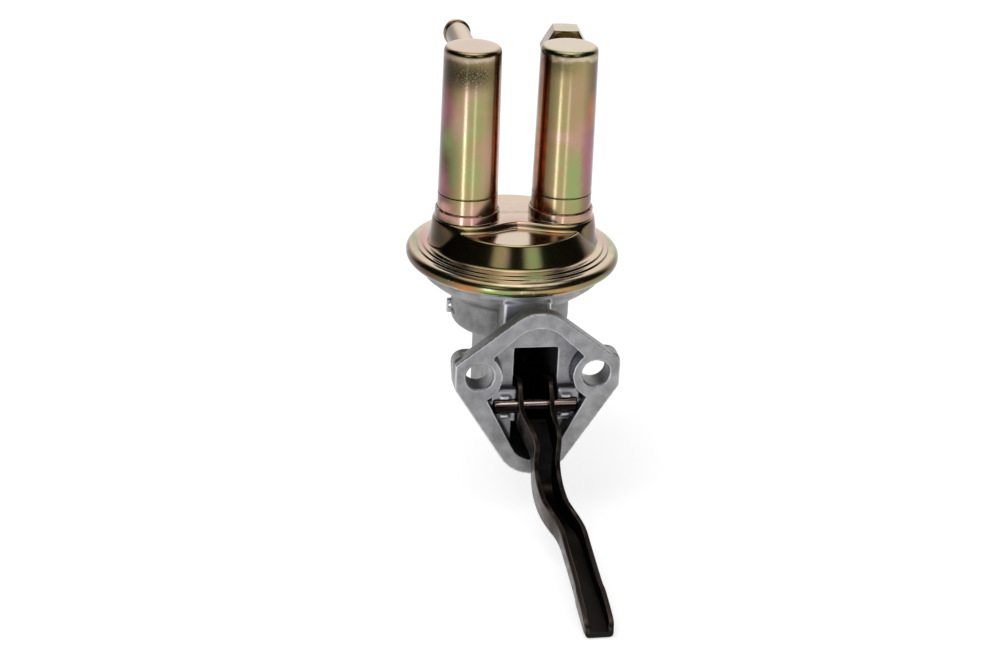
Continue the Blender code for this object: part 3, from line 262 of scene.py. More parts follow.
def fillet(corners, steps=4, closed=False):
    """Rounds the corners of a line. Each corner is (across, up, distance rounded off)."""
    line = [*corners[-1:], *corners, *corners[:1]] if closed else corners
    points = [] if closed else [Vector(line[0][:2])]
    for before, corner, after in zip(line, line[1:], line[2:]):
        here = Vector(corner[:2])
        back = Vector(before[:2]) - here
        ahead = Vector(after[:2]) - here
        start = here + back.normalized() * min(corner[2], 0.45 * back.length)
        end = here + ahead.normalized() * min(corner[2], 0.45 * ahead.length)
        for i in range(steps + 1):
            share = i / steps
            points.append(start.lerp(here, share).lerp(here.lerp(end, share), share))
    if not closed:
        points.append(Vector(line[-1][:2]))
    return [tuple(point) for point in points]


def circle(centre, radius, steps):
    turn = [2 * math.pi * i / steps for i in range(steps)]
    return [(centre[0] + radius * math.cos(a), centre[1] + radius * math.sin(a)) for a in turn]


def hull(circles, steps=96):
    """The outline of a band pulled round several circles, each given as (x, y, radius)."""
    points = [point for x, y, radius in circles for point in circle((x, y), radius, steps)]
    return [points[i] for i in convex_hull_2d([Vector(p) for p in points])]


def mirrored(x, y, radius):
    return [(x, y, radius), (-x, y, radius)]


def shown(name, data):
    """Puts a mesh, a lamp or a camera into the scene."""
    obj = bpy.data.objects.new(name, data)
    bpy.context.scene.collection.objects.link(obj)
    return obj


def shown_mesh(name, built):
    """Puts built faces into the scene."""
    mesh = bpy.data.meshes.new(name)
    built.to_mesh(mesh)
    built.free()
    return shown(name, mesh)


def skinned(name, loops, place=Matrix.Identity(4), closed=False, capped=False):
    """Joins loops of points in order, and faces the skin outwards. A loop may be a single point."""
    built = bmesh.new()
    rings = [[built.verts.new(point) for point in loop] for loop in loops]
    following = rings[1:] + rings[:1] if closed else rings[1:]
    for low, high in zip(rings, following):
        for i in range(max(len(low), len(high))):
            j = i + 1
            corners = (low[i % len(low)], low[j % len(low)], high[j % len(high)], high[i % len(high)])
            corners = list(dict.fromkeys(corners))
            if len(corners) > 2:
                built.faces.new(corners)
    if capped:
        built.faces.new(rings[0][::-1])
        built.faces.new(rings[-1])
    bmesh.ops.recalc_face_normals(built, faces=built.faces)
    built.transform(place)
    return shown_mesh(name, built)


def turned(name, profile, steps, place=Matrix.Identity(4), closed=False):
    """Turns a line of (radius, height) points about an axis."""
    loops = []
    for radius, height in profile:
        around = circle((0, 0), radius, steps) if radius > 1e-7 else [(0, 0)]
        loops.append([(x, y, height) for x, y in around])
    return skinned(name, loops, place, closed)


def pushed(name, outline, axis, low, high):
    """A solid made by pushing an outline along one axis. Its points are the other two axes in order."""
    at = "XYZ".index(axis)
    loops = [[(*point[:at], depth, *point[at:]) for point in outline] for depth in (low, high)]
    return skinned(name, loops, capped=True)


def bar(name, low, high, edge=0.0):
    """A block between two corners, its edges rounded off."""
    outline = [(low[0], low[1]), (high[0], low[1]), (high[0], high[1]), (low[0], high[1])]
    made = pushed(name, outline, "Z", low[2], high[2])
    return softened(made, edge) if edge else made


def softened(obj, width, segments=3):
    """Rounds the edges that turn by more than 35 degrees."""
    bevel = obj.modifiers.new("rounded_edges", "BEVEL")
    bevel.width = width
    bevel.segments = segments
    bevel.limit_method = "ANGLE"
    bevel.angle_limit = math.radians(35)
    return settled(obj)


def settled(obj):
    """Makes an object's modifiers part of its mesh."""
    evaluated = obj.evaluated_get(bpy.context.evaluated_depsgraph_get())
    mesh = bpy.data.meshes.new_from_object(evaluated)
    obj.modifiers.clear()
    obj.data = mesh
    return obj


def combined(obj, tool, operation):
    """Joins, cuts or intersects an object with a tool, which is then removed."""
    modifier = obj.modifiers.new(operation, "BOOLEAN")
    modifier.operation = operation
    modifier.solver = "EXACT"
    modifier.object = tool
    settled(obj)
    bpy.data.objects.remove(tool)
    return obj


def merged(name, pieces):
    """Puts overlapping solids into one mesh."""
    built = bmesh.new()
    for piece in pieces:
        built.from_mesh(piece.data)
        bpy.data.objects.remove(piece)
    return shown_mesh(name, built)


def smoothed(obj, angle):
    """Shades an object smoothly, and keeps the edges sharp that turn by more than an angle."""
    obj.data.shade_smooth()
    obj.data.set_sharp_from_angle(angle=math.radians(angle))
    return obj


def fitted(obj, body, slot, *replaced):
    """Gives a piece its finish and sets it on its body, in place of the plain solids."""
    obj.data.materials.clear()
    obj.data.materials.append(finish(slot))
    if replaced:
        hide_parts(*replaced)
    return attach(obj, body)


# Finishes


def finish(slot):
    """The finish of one slot, made when it is first asked for."""
    build = FINISHES[slot]
    return bpy.data.materials.get(build.__name__) or build(build.__name__)


def metal(name, colour, roughness):
    """A bare metal whose colour and surface are still to be drawn."""
    material = bpy.data.materials.new(name)
    material.use_nodes = True
    tree = material.node_tree
    shader = tree.nodes["Principled BSDF"]
    shader.inputs["Base Color"].default_value = (*colour, 1)
    shader.inputs["Metallic"].default_value = 1
    shader.inputs["Roughness"].default_value = roughness
    place = add_node(tree, "ShaderNodeTexCoord").outputs["Object"]
    return material, tree, shader, place


def laid_over(tree, colour, *layers):
    """Lays colours over a plain colour or a pattern, each as far as its share says."""
    for share, top in layers:
        under = colour if isinstance(colour, bpy.types.NodeSocket) else (*colour, 1)
        mix = add_node(tree, "ShaderNodeMix", {0: share, 6: under, 7: (*top, 1)}, data_type="RGBA")
        colour = mix.outputs[2]
    return colour


def vary_gloss(tree, shader, pattern, low, high, reach=(0.3, 0.7)):
    """Lets a pattern vary the roughness between two values."""
    rough = add_node(tree, "ShaderNodeMapRange", {0: pattern, 1: reach[0], 2: reach[1], 3: low, 4: high})
    tree.links.new(rough.outputs[0], shader.inputs["Roughness"])


def raise_grain(tree, shader, pattern, strength):
    """Lets a pattern raise the surface, by 0.1 mm at full strength."""
    bump = add_node(tree, "ShaderNodeBump", {"Strength": strength, "Distance": 0.1 * MM, "Height": pattern})
    tree.links.new(bump.outputs[0], shader.inputs["Normal"])


# Where the plating's film differs most: its colour, how much of it, then the middle of the patch and its half
# sizes in millimetres. Some rows lay painted light and shade instead of film, as marked below.
FILM_PATCHES = (
    ("pink", 0.5, (-29.4, 41.5, 93.0), (5, 5, 12)),
    ("pink", 0.5, (-17.6, 41.1, 78.0), (4.5, 5, 17)),
    ("green", 0.4, (-33.4, 45.3, 85.0), (4, 5, 8)),
    ("green", 0.4, (-22.2, 39.8, 99.0), (4.5, 5, 13)),
    ("green", 0.45, (-22.4, 39.8, 71.5), (4.5, 5, 9)),
    ("magenta", 0.45, (-34.4, 47.2, 97.0), (4, 7, 10)),
    ("magenta", 0.5, (-34.5, 47.5, 65.5), (4, 6, 8)),
    # Orange painted reflections of the neighbouring canister, down the sides that face each other.
    ("orange", 0.9, (-13.0, 45.5, 80.0), (2.5, 4.5, 40)),
    ("orange", 0.85, (5.3, 46.7, 82.0), (2.5, 4, 40)),
    ("pink", 0.8, (-33.6, 45.7, 54.5), (5, 6, 4)),
    ("pink", 0.7, (-22.0, 39.8, 56.0), (6, 5, 4)),
    ("magenta", 0.7, (-20.5, 38.5, 51.5), (7, 6, 2.2)),
    ("pink", 0.8, (-27.0, 39.0, 51.8), (10, 8, 2.2)),
    ("pink", 0.8, (17.0, 38.8, 51.8), (12, 8, 2.2)),
    # Painted highlights on the top edges of the canisters.
    ("cream_highlight", 0.7, (-23.2, 40.0, 119.2), (15, 15, 1.5)),
    ("cream_highlight", 0.7, (16.1, 40.0, 119.2), (15, 15, 1.5)),
    # A painted dark reflection on the left of the dome's wall, then painted shade round the lower half of the
    # rolled rim.
    ("shade", 0.85, (-36.0, 41.0, 44.0), (7, 12, 8)),
    ("shade", 0.3, (-3.5, 52.0, 29.5), (60, 60, 4.5)),
    ("pink", 0.6, (19.5, 40.3, 86.0), (5, 5, 12)),
    ("pink", 0.3, (18.0, 39.9, 105.0), (6, 6, 9)),
    ("green", 0.9, (18.8, 40.0, 68.0), (4.4, 5, 16)),
    ("green", 0.5, (3.9, 51.9, 91.0), (1.5, 4, 9)),
    ("magenta", 0.65, (24.3, 43.5, 76.0), (4.5, 7, 24)),
    ("orange", 0.45, (25.0, 43.6, 96.0), (3, 6, 9)),
    ("orange", 0.8, (7.5, 43.3, 54.6), (3.5, 4, 4)),
    ("pink", 0.8, (28.0, 48.0, 51.5), (5, 9, 4)),
    # A painted highlight over the plateau, strongest towards its back.
    ("cream_highlight", 0.7, (-2.0, 60.0, 49.5), (26, 24, 3)),
    ("pink", 0.35, (-2.0, 63.0, 49.5), (26, 22, 3)),
    ("pink", 0.6, (-5.0, 43.0, 49.5), (10, 7, 3)),
    ("green", 0.6, (-3.3, 54.3, 49.5), (13, 1.6, 3)),
    # Painted highlights at the two ends of the dome's shoulder.
    ("orange", 0.6, (-16.6, 34.5, 47.2), (5, 4, 2.5)),
    ("orange", 0.6, (9.6, 34.3, 47.2), (5, 4, 2.5)),
    ("green", 0.9, (1.6, 22.5, 42.0), (9, 7, 5)),
    ("pink", 0.8, (-41.5, 60.0, 37.5), (8, 22, 4)),
    ("green", 0.75, (-44.3, 64.0, 36.5), (2.2, 22, 3)),
    ("pink", 0.6, (34.5, 54.0, 37.5), (4, 18, 4)),
    ("green", 0.7, (38.2, 50.0, 36.5), (2.2, 18, 3)),
    # A painted highlight along the top of the rim's roll, at the front.
    ("cream_highlight", 0.7, (4.0, 10.5, 36.1), (22, 5, 1.6)),
    ("green", 0.85, (-16.5, 9.5, 31.5), (10, 5, 4)),
    ("orange", 0.5, (-29.0, 15.5, 31.0), (7, 6, 4)),
    ("orange", 0.4, (10.0, 9.5, 31.0), (7, 5, 3)),
    ("green", 0.4, (27.0, 20.0, 31.5), (8, 8, 3)),
    ("green", 0.3, (19.3, 78.0, 122.0), (9, 9, 2)),
    ("pink", 0.6, (12.0, 78.0, 116.5), (4, 9, 6)),
    ("pink", 0.3, (-23.2, 52.0, 122.0), (14, 14, 2)),
)
# A painted dark reflection below the tops of the canisters, speckled, given in the same way.
DARK_REFLECTION_PATCHES = (
    ("shade", 1.0, (-24.6, 40.0, 112.8), (15, 16, 7.2)),
    ("shade", 1.0, (-31.5, 43.5, 112.8), (10, 10, 6.5)),
    ("shade", 0.7, (9.6, 41.7, 116.2), (9, 10, 4.8)),
)
# Painted light on the front of the column, under the rim, where the casting lies in shade.
PAINTED_LIGHT_PATCHES = (("painted_light", 1.0, (-3.0, 13.3, 24.0), (14, 3, 6)),)


def spread_film(tree, place, colour, patches, speckle=None):
    """Lays patches of film over a colour, each full in its middle and fading to its edge."""
    colours = bpy.context.scene.pump_colours
    for film, share, middle, half_sizes in patches:
        scale = [1 / (half * MM) for half in half_sizes]
        shift = [-at * MM * size for at, size in zip(middle, scale)]
        near = add_node(tree, "ShaderNodeMapping", {"Vector": place, "Location": shift, "Scale": scale})
        far = add_node(tree, "ShaderNodeVectorMath", {0: near.outputs[0]}, operation="LENGTH")
        fade = {0: far.outputs["Value"], 1: 1.35, 2: 0.0, 4: share}
        amount = add_node(tree, "ShaderNodeMapRange", fade, interpolation_type="SMOOTHSTEP").outputs[0]
        if speckle:
            flecked = add_node(tree, "ShaderNodeMath", {0: amount, 1: speckle}, operation="MULTIPLY")
            amount = flecked.outputs[0]
        colour = laid_over(tree, colour, (amount, getattr(colours, film)))
    return colour


def yellow_zinc_plating(name):
    """Drawn steel, zinc plated and yellow passivated: a bright olive-gold metal with a thin film.

    The film is thicker in some places than in others, so it drifts to green, pink and orange. Painted light
    and shade lie over it as well: painted shade and reflection on faces that turn sideways, a painted
    highlight on faces that look up, and painted patches of shade, highlight and reflection.
    """
    colours = bpy.context.scene.pump_colours
    material, tree, shader, place = metal(name, colours.gold, 0.2)
    shader.inputs["Coat Weight"].default_value = 0.3
    shader.inputs["Coat Roughness"].default_value = 0.2
    # The film changes slowly, over about 22 mm.
    slow = {"Vector": place, "Scale": 1 / (22 * MM), "Detail": 3.0, "Roughness": 0.5, "Distortion": 0.6}
    drift = add_node(tree, "ShaderNodeTexNoise", slow)
    film = add_node(tree, "ShaderNodeValToRGB", {0: drift.outputs[0]})
    ramp = film.color_ramp.elements
    for stop, position, colour in ((ramp[0], 0.3, colours.green), (ramp[1], 0.78, colours.pink)):
        stop.position = position
        stop.color = (*colour, 1)
    for position in (0.43, 0.56):
        ramp.new(position).color = (*colours.gold, 1)
    shape = add_node(tree, "ShaderNodeNewGeometry").outputs["Normal"]
    facing = add_node(tree, "ShaderNodeSeparateXYZ", {0: shape})
    # Painted shade and reflection, darker and redder, on faces that turn sideways, such as the flanks of the
    # canisters.
    sideways = add_node(tree, "ShaderNodeMath", {0: facing.outputs[0]}, operation="ABSOLUTE")
    shaded_flank = add_node(tree, "ShaderNodeMapRange", {0: sideways.outputs[0], 1: 0.35, 2: 0.85, 4: 0.95})
    # A painted pale highlight on faces that look up.
    lit_top = add_node(tree, "ShaderNodeMapRange", {0: facing.outputs[2], 1: 0.8, 2: 0.98, 4: 0.75})
    layers = ((shaded_flank.outputs[0], colours.flank_shade), (lit_top.outputs[0], colours.cream_highlight))
    colour = laid_over(tree, film.outputs[0], *layers)
    # Patches of film run out in tongues about 5 mm wide.
    tongues = add_node(tree, "ShaderNodeTexNoise", {"Vector": place, "Scale": 1 / (5 * MM), "Detail": 3.0})
    spread = {0: tongues.outputs["Color"], 1: [5 * MM] * 3, 2: [-2.5 * MM] * 3}
    shift = add_node(tree, "ShaderNodeVectorMath", spread, operation="MULTIPLY_ADD")
    ragged = add_node(tree, "ShaderNodeVectorMath", {0: place, 1: shift.outputs[0]}, operation="ADD")
    colour = spread_film(tree, ragged.outputs[0], colour, FILM_PATCHES)
    # The painted dark reflection is broken into specks of about 0.4 mm.
    fine = {"Vector": place, "Scale": 1 / (0.4 * MM), "Detail": 4.0, "Roughness": 0.7}
    specks = add_node(tree, "ShaderNodeTexNoise", fine)
    reflection_speckle = add_node(tree, "ShaderNodeMapRange", {0: specks.outputs[0], 1: 0.34, 2: 0.52})
    colour = spread_film(tree, place, colour, DARK_REFLECTION_PATCHES, reflection_speckle.outputs[0])
    # Knocks on the rim, about 3 mm across, show the bare zinc.
    height = add_node(tree, "ShaderNodeSeparateXYZ", {0: place}).outputs[2]
    on_rim = add_node(tree, "ShaderNodeMapRange", {0: height, 1: 36 * MM, 2: 33 * MM})
    coarse = {"Vector": place, "Scale": 1 / (3 * MM), "Detail": 6.0, "Roughness": 0.65}
    knocks = add_node(tree, "ShaderNodeTexNoise", coarse)
    scuffed = add_node(tree, "ShaderNodeMapRange", {0: knocks.outputs[0], 1: 0.62, 2: 0.68, 4: 0.8})
    both = {0: on_rim.outputs[0], 1: scuffed.outputs[0]}
    worn = add_node(tree, "ShaderNodeMath", both, operation="MULTIPLY")
    colour = laid_over(tree, colour, (worn.outputs[0], to_linear("#D6D2C6")))
    tree.links.new(colour, shader.inputs["Base Color"])
    rough = add_node(tree, "ShaderNodeMapRange", {0: specks.outputs[0], 1: 0.3, 2: 0.7, 3: 0.11, 4: 0.19})
    # The rolled rim is duller than the dome, and so are the canisters, which are drawn further.
    for low, high, duller in ((36, 33, 0.1), (51, 53, 0.05)):
        part = add_node(tree, "ShaderNodeMapRange", {0: height, 1: low * MM, 2: high * MM, 4: duller})
        rough = add_node(tree, "ShaderNodeMath", {0: rough.outputs[0], 1: part.outputs[0]}, operation="ADD")
    tree.links.new(rough.outputs[0], shader.inputs["Roughness"])
    # Sheet steel has a faint orange peel about 1.5 mm across under its plating.
    peel = add_node(tree, "ShaderNodeTexNoise", {"Vector": place, "Scale": 1 / (1.5 * MM), "Detail": 5.0})
    raise_grain(tree, shader, peel.outputs[0], 0.05)
    return material


def blasted_die_casting(name):
    """Pressure die-cast aluminium, lightly blasted: a soft grey with a fine sparkle, painted highlights on
    its edges, painted shade in its creases and painted light on the front of its column.
    """
    colours = bpy.context.scene.pump_colours
    material, tree, shader, place = metal(name, colours.aluminium, 0.42)
    cloud = add_node(tree, "ShaderNodeTexNoise", {"Vector": place, "Scale": 1 / (6 * MM), "Detail": 5.0})
    # The grain of the die is about 0.1 mm, and is drawn at 0.45 mm to show.
    fine = {"Vector": place, "Scale": 1 / (0.45 * MM), "Detail": 3.0, "Roughness": 0.7}
    grain = add_node(tree, "ShaderNodeTexNoise", fine)
    mottle = add_node(tree, "ShaderNodeMath", {0: cloud.outputs[0], 1: grain.outputs[0]}, operation="ADD")
    shade = add_node(tree, "ShaderNodeMapRange", {0: mottle.outputs[0], 1: 0.75, 2: 1.25})
    bend = add_node(tree, "ShaderNodeNewGeometry").outputs["Pointiness"]
    # Painted highlights on the convex edges.
    edge = add_node(tree, "ShaderNodeMapRange", {0: bend, 1: 0.508, 2: 0.54, 4: 0.75})
    # Painted shade in the concave creases.
    crease_shade = add_node(tree, "ShaderNodeMapRange", {0: bend, 1: 0.492, 2: 0.455, 4: 0.7})
    # Away from the machined flange the skin of the casting is darker.
    depth = add_node(tree, "ShaderNodeSeparateXYZ", {0: place})
    skin = add_node(tree, "ShaderNodeMapRange", {0: depth.outputs[1], 1: 22 * MM, 2: 30 * MM, 4: 0.3})
    colour = laid_over(
        tree,
        [0.68 * c for c in colours.aluminium],
        (shade.outputs[0], [1.34 * c for c in colours.aluminium]),
        (edge.outputs[0], to_linear("#E0E0E2")),
        (crease_shade.outputs[0], to_linear("#3E3D3B")),
        (skin.outputs[0], to_linear("#30302F")),
    )
    tree.links.new(spread_film(tree, place, colour, PAINTED_LIGHT_PATCHES), shader.inputs["Base Color"])
    vary_gloss(tree, shader, grain.outputs[0], 0.34, 0.54)
    raise_grain(tree, shader, grain.outputs[0], 0.5)
    return material


def oiled_black_steel(name):
    """Stamped spring steel, blacked and oiled: almost black, with painted light on its walls that face left,
    and brown on its edges, partly rubbed and partly a painted highlight.
    """
    colours = bpy.context.scene.pump_colours
    material, tree, shader, place = metal(name, colours.black_steel, 0.34)
    shape = add_node(tree, "ShaderNodeNewGeometry").outputs
    facing = add_node(tree, "ShaderNodeSeparateXYZ", {0: shape["Normal"]})
    # Painted light on the walls that face left.
    left_wall_light = add_node(tree, "ShaderNodeMapRange", {0: facing.outputs[0], 1: -0.5, 2: -0.95, 4: 0.6})
    # The edges turn brown, partly where the black is rubbed and partly as a painted highlight.
    edge = add_node(tree, "ShaderNodeMapRange", {0: shape["Pointiness"], 1: 0.51, 2: 0.57})
    # The sheared end of the arm keeps its black.
    side = add_node(tree, "ShaderNodeMapRange", {0: facing.outputs[1], 1: -0.97, 2: -0.75})
    rubbed = add_node(tree, "ShaderNodeMath", {0: edge.outputs[0], 1: side.outputs[0]}, operation="MULTIPLY")
    layers = ((left_wall_light.outputs[0], to_linear("#4E4B48")), (rubbed.outputs[0], colours.wear_and_highlight))
    tree.links.new(laid_over(tree, colours.black_steel, *layers), shader.inputs["Base Color"])
    scale = add_node(tree, "ShaderNodeTexNoise", {"Vector": place, "Scale": 1 / (2.5 * MM), "Detail": 4.0})
    vary_gloss(tree, shader, scale.outputs[0], 0.26, 0.42)
    return material


def ground_pin_steel(name):
    """Hardened steel, ground round: a clear shine above, and painted shade on its lower side."""
    steel = to_linear("#CDB5AA")
    material, tree, shader, place = metal(name, steel, 0.2)
    shape = add_node(tree, "ShaderNodeNewGeometry").outputs["Normal"]
    facing = add_node(tree, "ShaderNodeSeparateXYZ", {0: shape})
    # Painted shade on the lower side of the pin, on faces that turn down.
    lower_shade = add_node(tree, "ShaderNodeMapRange", {0: facing.outputs[2], 1: 0.6, 2: 0.4})
    colour = laid_over(tree, steel, (lower_shade.outputs[0], to_linear("#120E0C")))
    tree.links.new(colour, shader.inputs["Base Color"])
    # The grinding marks are finer than 0.1 mm, and are drawn about 0.6 mm apart to show.
    marks = add_node(tree, "ShaderNodeTexWave", {"Vector": place, "Scale": 0.5 / MM}, bands_direction="X")
    vary_gloss(tree, shader, marks.outputs["Fac"], 0.14, 0.22, (0, 1))
    return material


def cold_rolled_steel(name):
    """Cold-rolled steel sheet, pressed and bare: grey with a satin shine."""
    material, tree, shader, place = metal(name, to_linear("#A8A8AA"), 0.35)
    cloud = add_node(tree, "ShaderNodeTexNoise", {"Vector": place, "Scale": 1 / (2 * MM), "Detail": 4.0})
    vary_gloss(tree, shader, cloud.outputs[0], 0.28, 0.44)
    return material


def spring_wire(name):
    """Hard-drawn spring wire: dark grey, smooth and lightly oiled."""
    material, tree, shader, place = metal(name, to_linear("#77777A"), 0.3)
    cloud = add_node(tree, "ShaderNodeTexNoise", {"Vector": place, "Scale": 1 / (1.2 * MM), "Detail": 2.0})
    vary_gloss(tree, shader, cloud.outputs[0], 0.22, 0.38)
    return material


def turned_brass(name):
    """Free-cutting brass, turned: warm yellow with fine tool marks."""
    material, tree, shader, place = metal(name, to_linear("#C7A45A"), 0.28)
    wavy = {"Vector": place, "Scale": 1 / (0.8 * MM), "Distortion": 1.0}
    marks = add_node(tree, "ShaderNodeTexWave", wavy, bands_direction="Z")
    vary_gloss(tree, shader, marks.outputs["Fac"], 0.2, 0.36, (0, 1))
    return material


def nitrile_rubber(name):
    """Moulded nitrile rubber: black, matt and a little uneven."""
    material, tree, shader, place = metal(name, to_linear("#1E1E1F"), 0.75)
    shader.inputs["Metallic"].default_value = 0
    grain = add_node(tree, "ShaderNodeTexNoise", {"Vector": place, "Scale": 1 / (0.5 * MM), "Detail": 3.0})
    raise_grain(tree, shader, grain.outputs[0], 0.2)
    return material


FINISHES = {
    "die_cast_aluminium": blasted_die_casting,
    "valve_brass": turned_brass,
    "fuel_rubber": nitrile_rubber,
    "plain_steel": cold_rolled_steel,
    "spring_steel": spring_wire,
    "pin_steel": ground_pin_steel,
    "black_steel": oiled_black_steel,
    "yellow_zinc": yellow_zinc_plating,
}


# Pressed cover


def eased(low, high, value):
    """Rises smoothly from 0 at low to 1 at high."""
    share = min(1.0, max(0.0, (value - low) / (high - low)))
    return share * share * (3 - 2 * share)


def outside_plateau(x, y, cover, spacing):
    """How far a point lies outside the plateau's outline, two discs joined by a waist."""
    disc = math.hypot(abs(x) - spacing, y) - cover.plateau_end
    waist = math.hypot(max(abs(x) - spacing, 0), max(abs(y) - cover.plateau_waist, 0))
    if abs(y) < cover.plateau_waist and abs(x) < spacing:
        waist = abs(y) - cover.plateau_waist
    reach = 9 * MM
    near = max(reach - abs(disc - waist), 0) / reach
    return min(disc, waist) - near * near * reach / 4


def dome_height(radius, cover, ledge):
    """The dome without its plateau: a level top, a steep wall and a rounded foot."""
    line = fillet(
        [
            (0, cover.shoulder_height, 0),
            (cover.dome_shoulder, cover.shoulder_height, 0.9 * MM),
            (cover.dome_foot, ledge + 0.2 * MM, 1.6 * MM),
            (cover.dome_foot + 3 * MM, ledge, 0),
        ],
        6,
    )
    for (near, near_z), (far, far_z) in zip(line, line[1:]):
        if radius <= far:
            return near_z + (far_z - near_z) * (radius - near) / max(far - near, 1e-9)
    return ledge


def make_cover(cover, cans):
    """The cover as one pressed sheet: plateau, saddle, dome wall, ledges, rolled rim and lip."""
    steps = 288
    step = cover.ledge_step
    rim_top = cover.rim_height + cover.roll_radius
    ledge = rim_top + 2 * step
    inner_end = cover.dome_foot + 1.6 * MM
    # The rings stand closer together on the dome's wall than on its top.
    radii = [inner_end * (i / 60) for i in range(1, 46)]
    knee = radii[-1]
    radii += [knee + (inner_end - knee) * i / 44 for i in range(1, 45)]
    loops = [[(0, 0, cover.plateau_height)]]
    for radius in radii:
        dome = dome_height(radius, cover, ledge)
        loop = []
        for x, y in circle((0, 0), radius, steps):
            raised = 1 - eased(-1.1 * MM, 1.4 * MM, outside_plateau(x, y, cover, cans.half_spacing))
            loop.append((x, y, dome + (cover.plateau_height - dome) * raised))
        loops.append(loop)
    roll = cover.roll_radius
    middle = cover.rim_radius - roll
    slope = 0.2 * MM
    edge = [(inner_end, ledge, 0)]
    for radius, top in ((cover.inner_ledge, ledge), (cover.outer_ledge, ledge - step)):
        edge += [(radius - slope, top, 0.25 * MM), (radius + slope, top - step, 0.3 * MM)]
    profile = fillet([*edge, (middle + 0.2 * MM, rim_top, 0)], 3)[1:]
    turn = [math.radians(90 - 180 * i / 20) for i in range(1, 21)]
    profile += [(middle + roll * math.cos(a), cover.rim_height + roll * math.sin(a)) for a in turn]
    low = cover.rim_height - roll
    top = low + cover.sheet
    profile += [(cover.lip_radius + 0.2 * MM, low), (cover.lip_radius, low + 0.2 * MM)]
    profile += [(cover.lip_radius, top), (middle, top), (middle + roll - cover.sheet, cover.rim_height)]
    loops += [[(x, y, height) for x, y in circle((0, 0), radius, steps)] for radius, height in profile]
    return skinned("cover_pressing", loops, Matrix.Translation((PUMP_X, PUMP_Y, 0)))


def make_braze(side, cans, height, place):
    """The seam of braze between a collar and its canister, fuller in some places than in others."""
    steps = 160
    loops = []
    for i in range(steps):
        angle = 2 * math.pi * i / steps
        across = math.cos(angle)
        along = math.sin(angle)
        full = noise.noise(Vector((6 * across, 6 * along, len(side))))
        size = max(0.05, 0.2 + 0.4 * full) * MM
        section = circle((cans.base_radius + 0.3 * MM, height - 0.02 * MM), size, 8)
        loops.append([(x * across, x * along, z) for x, z in section])
    return smoothed(skinned(f"{side}_braze_seam", loops, place, closed=True), 80)


def over_canister(sign, cans, height=0):
    """A place on the axis of the left (-1) or right (1) canister."""
    return Matrix.Translation((PUMP_X + sign * cans.half_spacing, PUMP_Y, height))


class FUELPUMP_OT_cover(bpy.types.Operator):
    """Builds the pressed cover and the two collars drawn out of it"""

    bl_idname = "fuelpump.cover"
    bl_label = "Pressed Cover"

    def execute(self, context):
        cover = context.scene.pump_cover
        cans = context.scene.pump_canisters
        fitted(smoothed(make_cover(cover, cans), 50), "housing", "yellow_zinc", "top_cover")
        top = cover.plateau_height + cans.collar_height
        radius = cans.collar_radius
        profile = fillet(
            [
                (radius + cans.collar_flare, cover.plateau_height - 0.35 * MM, 0),
                (radius + 0.1 * MM, cover.plateau_height + 0.2 * MM, 0.5 * MM),
                (radius, top, 0.35 * MM),
                (cans.base_radius + 0.5 * MM, top, 0.15 * MM),
                (cans.base_radius + 0.45 * MM, top - 1.2 * MM, 0),
            ]
        )
        for side, sign in (("left", -1), ("right", 1)):
            place = over_canister(sign, cans)
            collar = smoothed(turned(f"{side}_collar", profile, 144, place), 60)
            fitted(collar, "housing", "yellow_zinc")
            fitted(make_braze(side, cans, top, place), "housing", "yellow_zinc")
        return {"FINISHED"}


# Canisters and ports


class FUELPUMP_OT_canisters(bpy.types.Operator):
    """Builds the two drawn canisters"""

    bl_idname = "fuelpump.canisters"
    bl_label = "Canisters"

    def execute(self, context):
        cans = context.scene.pump_canisters
        foot = context.scene.pump_cover.plateau_height + 0.6 * MM
        base = cans.base_radius
        groove = cans.groove_height
        profile = fillet(
            [
                (base - 1 * MM, foot, 0),
                (base, foot, 0.2 * MM),
                (base, groove - 0.35 * MM, 0.12 * MM),
                (base - cans.groove, groove, 0.15 * MM),
                (base - 0.06 * MM, groove + 0.4 * MM, 0.12 * MM),
                (cans.top_radius, CAN_TOP, cans.edge),
                (0.5 * cans.top_radius, CAN_TOP, 0.2 * MM),
                (0, CAN_TOP, 0),
            ],
            6,
        )
        for name, sign in (("inlet", -1), ("outlet", 1)):
            can = smoothed(turned(f"{name}_can", profile, 160, over_canister(sign, cans)), 40)
            fitted(can, "housing", "yellow_zinc", f"{name}_canister")
        return {"FINISHED"}


# Lays an upright piece down, so that it points away from the engine.
LAID_DOWN = Matrix.Rotation(math.radians(-90), 4, "X")


def behind(sign, drop, turn, cans):
    """The place of a port behind a canister, below its top."""
    return over_canister(sign, cans, CAN_TOP - drop) @ Matrix.Rotation(-turn, 4, "Z") @ LAID_DOWN


class FUELPUMP_OT_inlet_tube(bpy.types.Operator):
    """Builds the inlet tube with its hose bead"""

    bl_idname = "fuelpump.inlet_tube"
    bl_label = "Inlet Tube"

    def execute(self, context):
        ports = context.scene.pump_ports
        radius = ports.tube_radius
        inner = radius - ports.tube_wall
        bead = ports.bead_place
        end = ports.tube_length
        profile = fillet(
            [
                (radius, 8.5 * MM, 0),
                (radius, bead - 1.1 * MM, 0.25 * MM),
                (ports.bead_radius, bead - 0.8 * MM, 0.3 * MM),
                (ports.bead_radius, bead + 1.0 * MM, 0.4 * MM),
                (radius, bead + 1.4 * MM, 0.5 * MM),
                (radius, end, 0.4 * MM),
                (inner, end, 0.3 * MM),
                (inner, 9 * MM, 0),
            ]
        )
        place = behind(-1, ports.tube_drop, 0, context.scene.pump_canisters)
        tube = smoothed(turned("hose_tube", profile, 96, place), 40)
        fitted(tube, "housing", "yellow_zinc", "inlet_tube")
        return {"FINISHED"}


